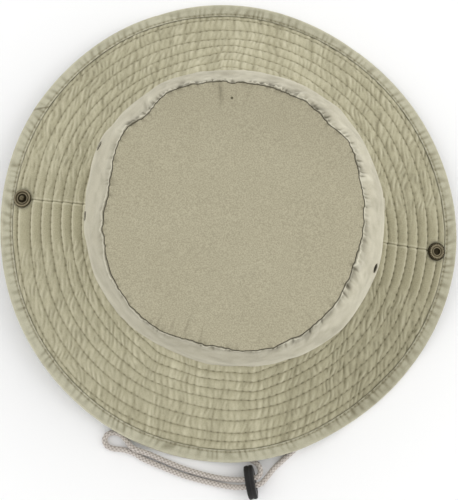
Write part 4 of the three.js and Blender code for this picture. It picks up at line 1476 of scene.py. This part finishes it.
# each snap ring from the middle out: radius, lift, darkening as patina with painted shade in the hole
# and between rings, and paling as rubbed brass with painted glints
studProfile = {
    "radius": [0, 0.0008, 0.0016, 0.0019, 0.0021, 0.0024, 0.0029, 0.0033, 0.0037, 0.0042, 0.0047, 0.0052,
        0.0057, 0.0062, 0.00645, 0.0064, 0.006],
    "lift": [0.0029, 0.00285, 0.0025, 0.0018, 0.0011, 0.0009, 0.0009, 0.0012, 0.0013, 0.0010, 0.0012,
        0.0016, 0.0017, 0.0013, 0.0006, 0.0001, 0.0],
    "shadeAndStain": [0.6, 0.4, 0.6, 0.9, 1, 1, 1, 0.5, 0.3, 0.9, 0.7, 0.3, 0.3, 0.7, 0.9, 1, 1],
    "wearAndHighlight": [0, 0.2, 0.1, 0, 0, 0, 0, 0.3, 0.5, 0, 0.1, 0.5, 0.5, 0.1, 0, 0, 0],
}
socketProfile = {
    "radius": [0, 0.001, 0.0018, 0.0022, 0.0024, 0.0027, 0.0031, 0.0035, 0.0039, 0.0043, 0.0048, 0.0052,
        0.0057, 0.0062, 0.00645, 0.0064, 0.006],
    "lift": [0.0003, 0.0003, 0.0004, 0.0008, 0.0013, 0.0015, 0.0013, 0.0011, 0.0014, 0.0017, 0.0018,
        0.0017, 0.0014, 0.0011, 0.0006, 0.0001, 0.0],
    "shadeAndStain": [1, 1, 1, 1, 0.9, 0.3, 0.5, 0.8, 0.4, 0.2, 0.1, 0.3, 0.7, 0.8, 0.9, 1, 1],
    "wearAndHighlight": [0, 0, 0, 0, 0, 0.5, 0.1, 0, 0.3, 0.6, 0.7, 0.3, 0, 0.1, 0, 0, 0],
}
# the post and the flat back below the brim
snapBack = {
    "radius": [0.0021, 0.0021, 0.0046, 0.0046, 0.0],
    "lift": [0.001, -0.0014, -0.0014, -0.0021, -0.0021],
}


def makeSnap(name, node, side, table, beads, setup):
    back = len(snapBack["lift"])
    radii = np.array(table["radius"])
    lifts = np.append(np.array(table["lift"]) + setup["base"], snapBack["lift"])
    beadMask = np.pad(bell(radii - setup["beadReach"], setup["beadWidth"]) * beads, (0, back))
    turn = evenTurns(setup["columns"])[:, None]
    bead = setup["beadRise"] * np.cos(turn * setup["beads"]) * beadMask
    middle, outward = onBrim(setup["angle"][side], setup["inset"])
    points = spunShape(middle, outward, np.append(radii, snapBack["radius"]), lifts + bead)
    # painted glints on the beads and painted shade between them; the back below the brim is painted in
    # half shade
    beadShade = 0.5 * (1 - np.cos(turn * setup["beads"])) * beadMask
    shadeAndStain = np.append(table["shadeAndStain"], [0.5] * back) + beadShade
    wearAndHighlight = np.append(table["wearAndHighlight"], [0.0] * back) - beadShade
    faces = gridFaces(*shadeAndStain.shape, closeRows=True)
    makePiece(name, points, faces, agedBrass, [node], {"shadeAndStain": shadeAndStain, "wearAndHighlight": wearAndHighlight},
        merge=True)


makeSnap("snapLeft", "snap_left", "left", studProfile, 0.0, snapSetup)
makeSnap("snapRight", "snap_right", "right", socketProfile, 1.0, snapSetup)
print("snaps are made")
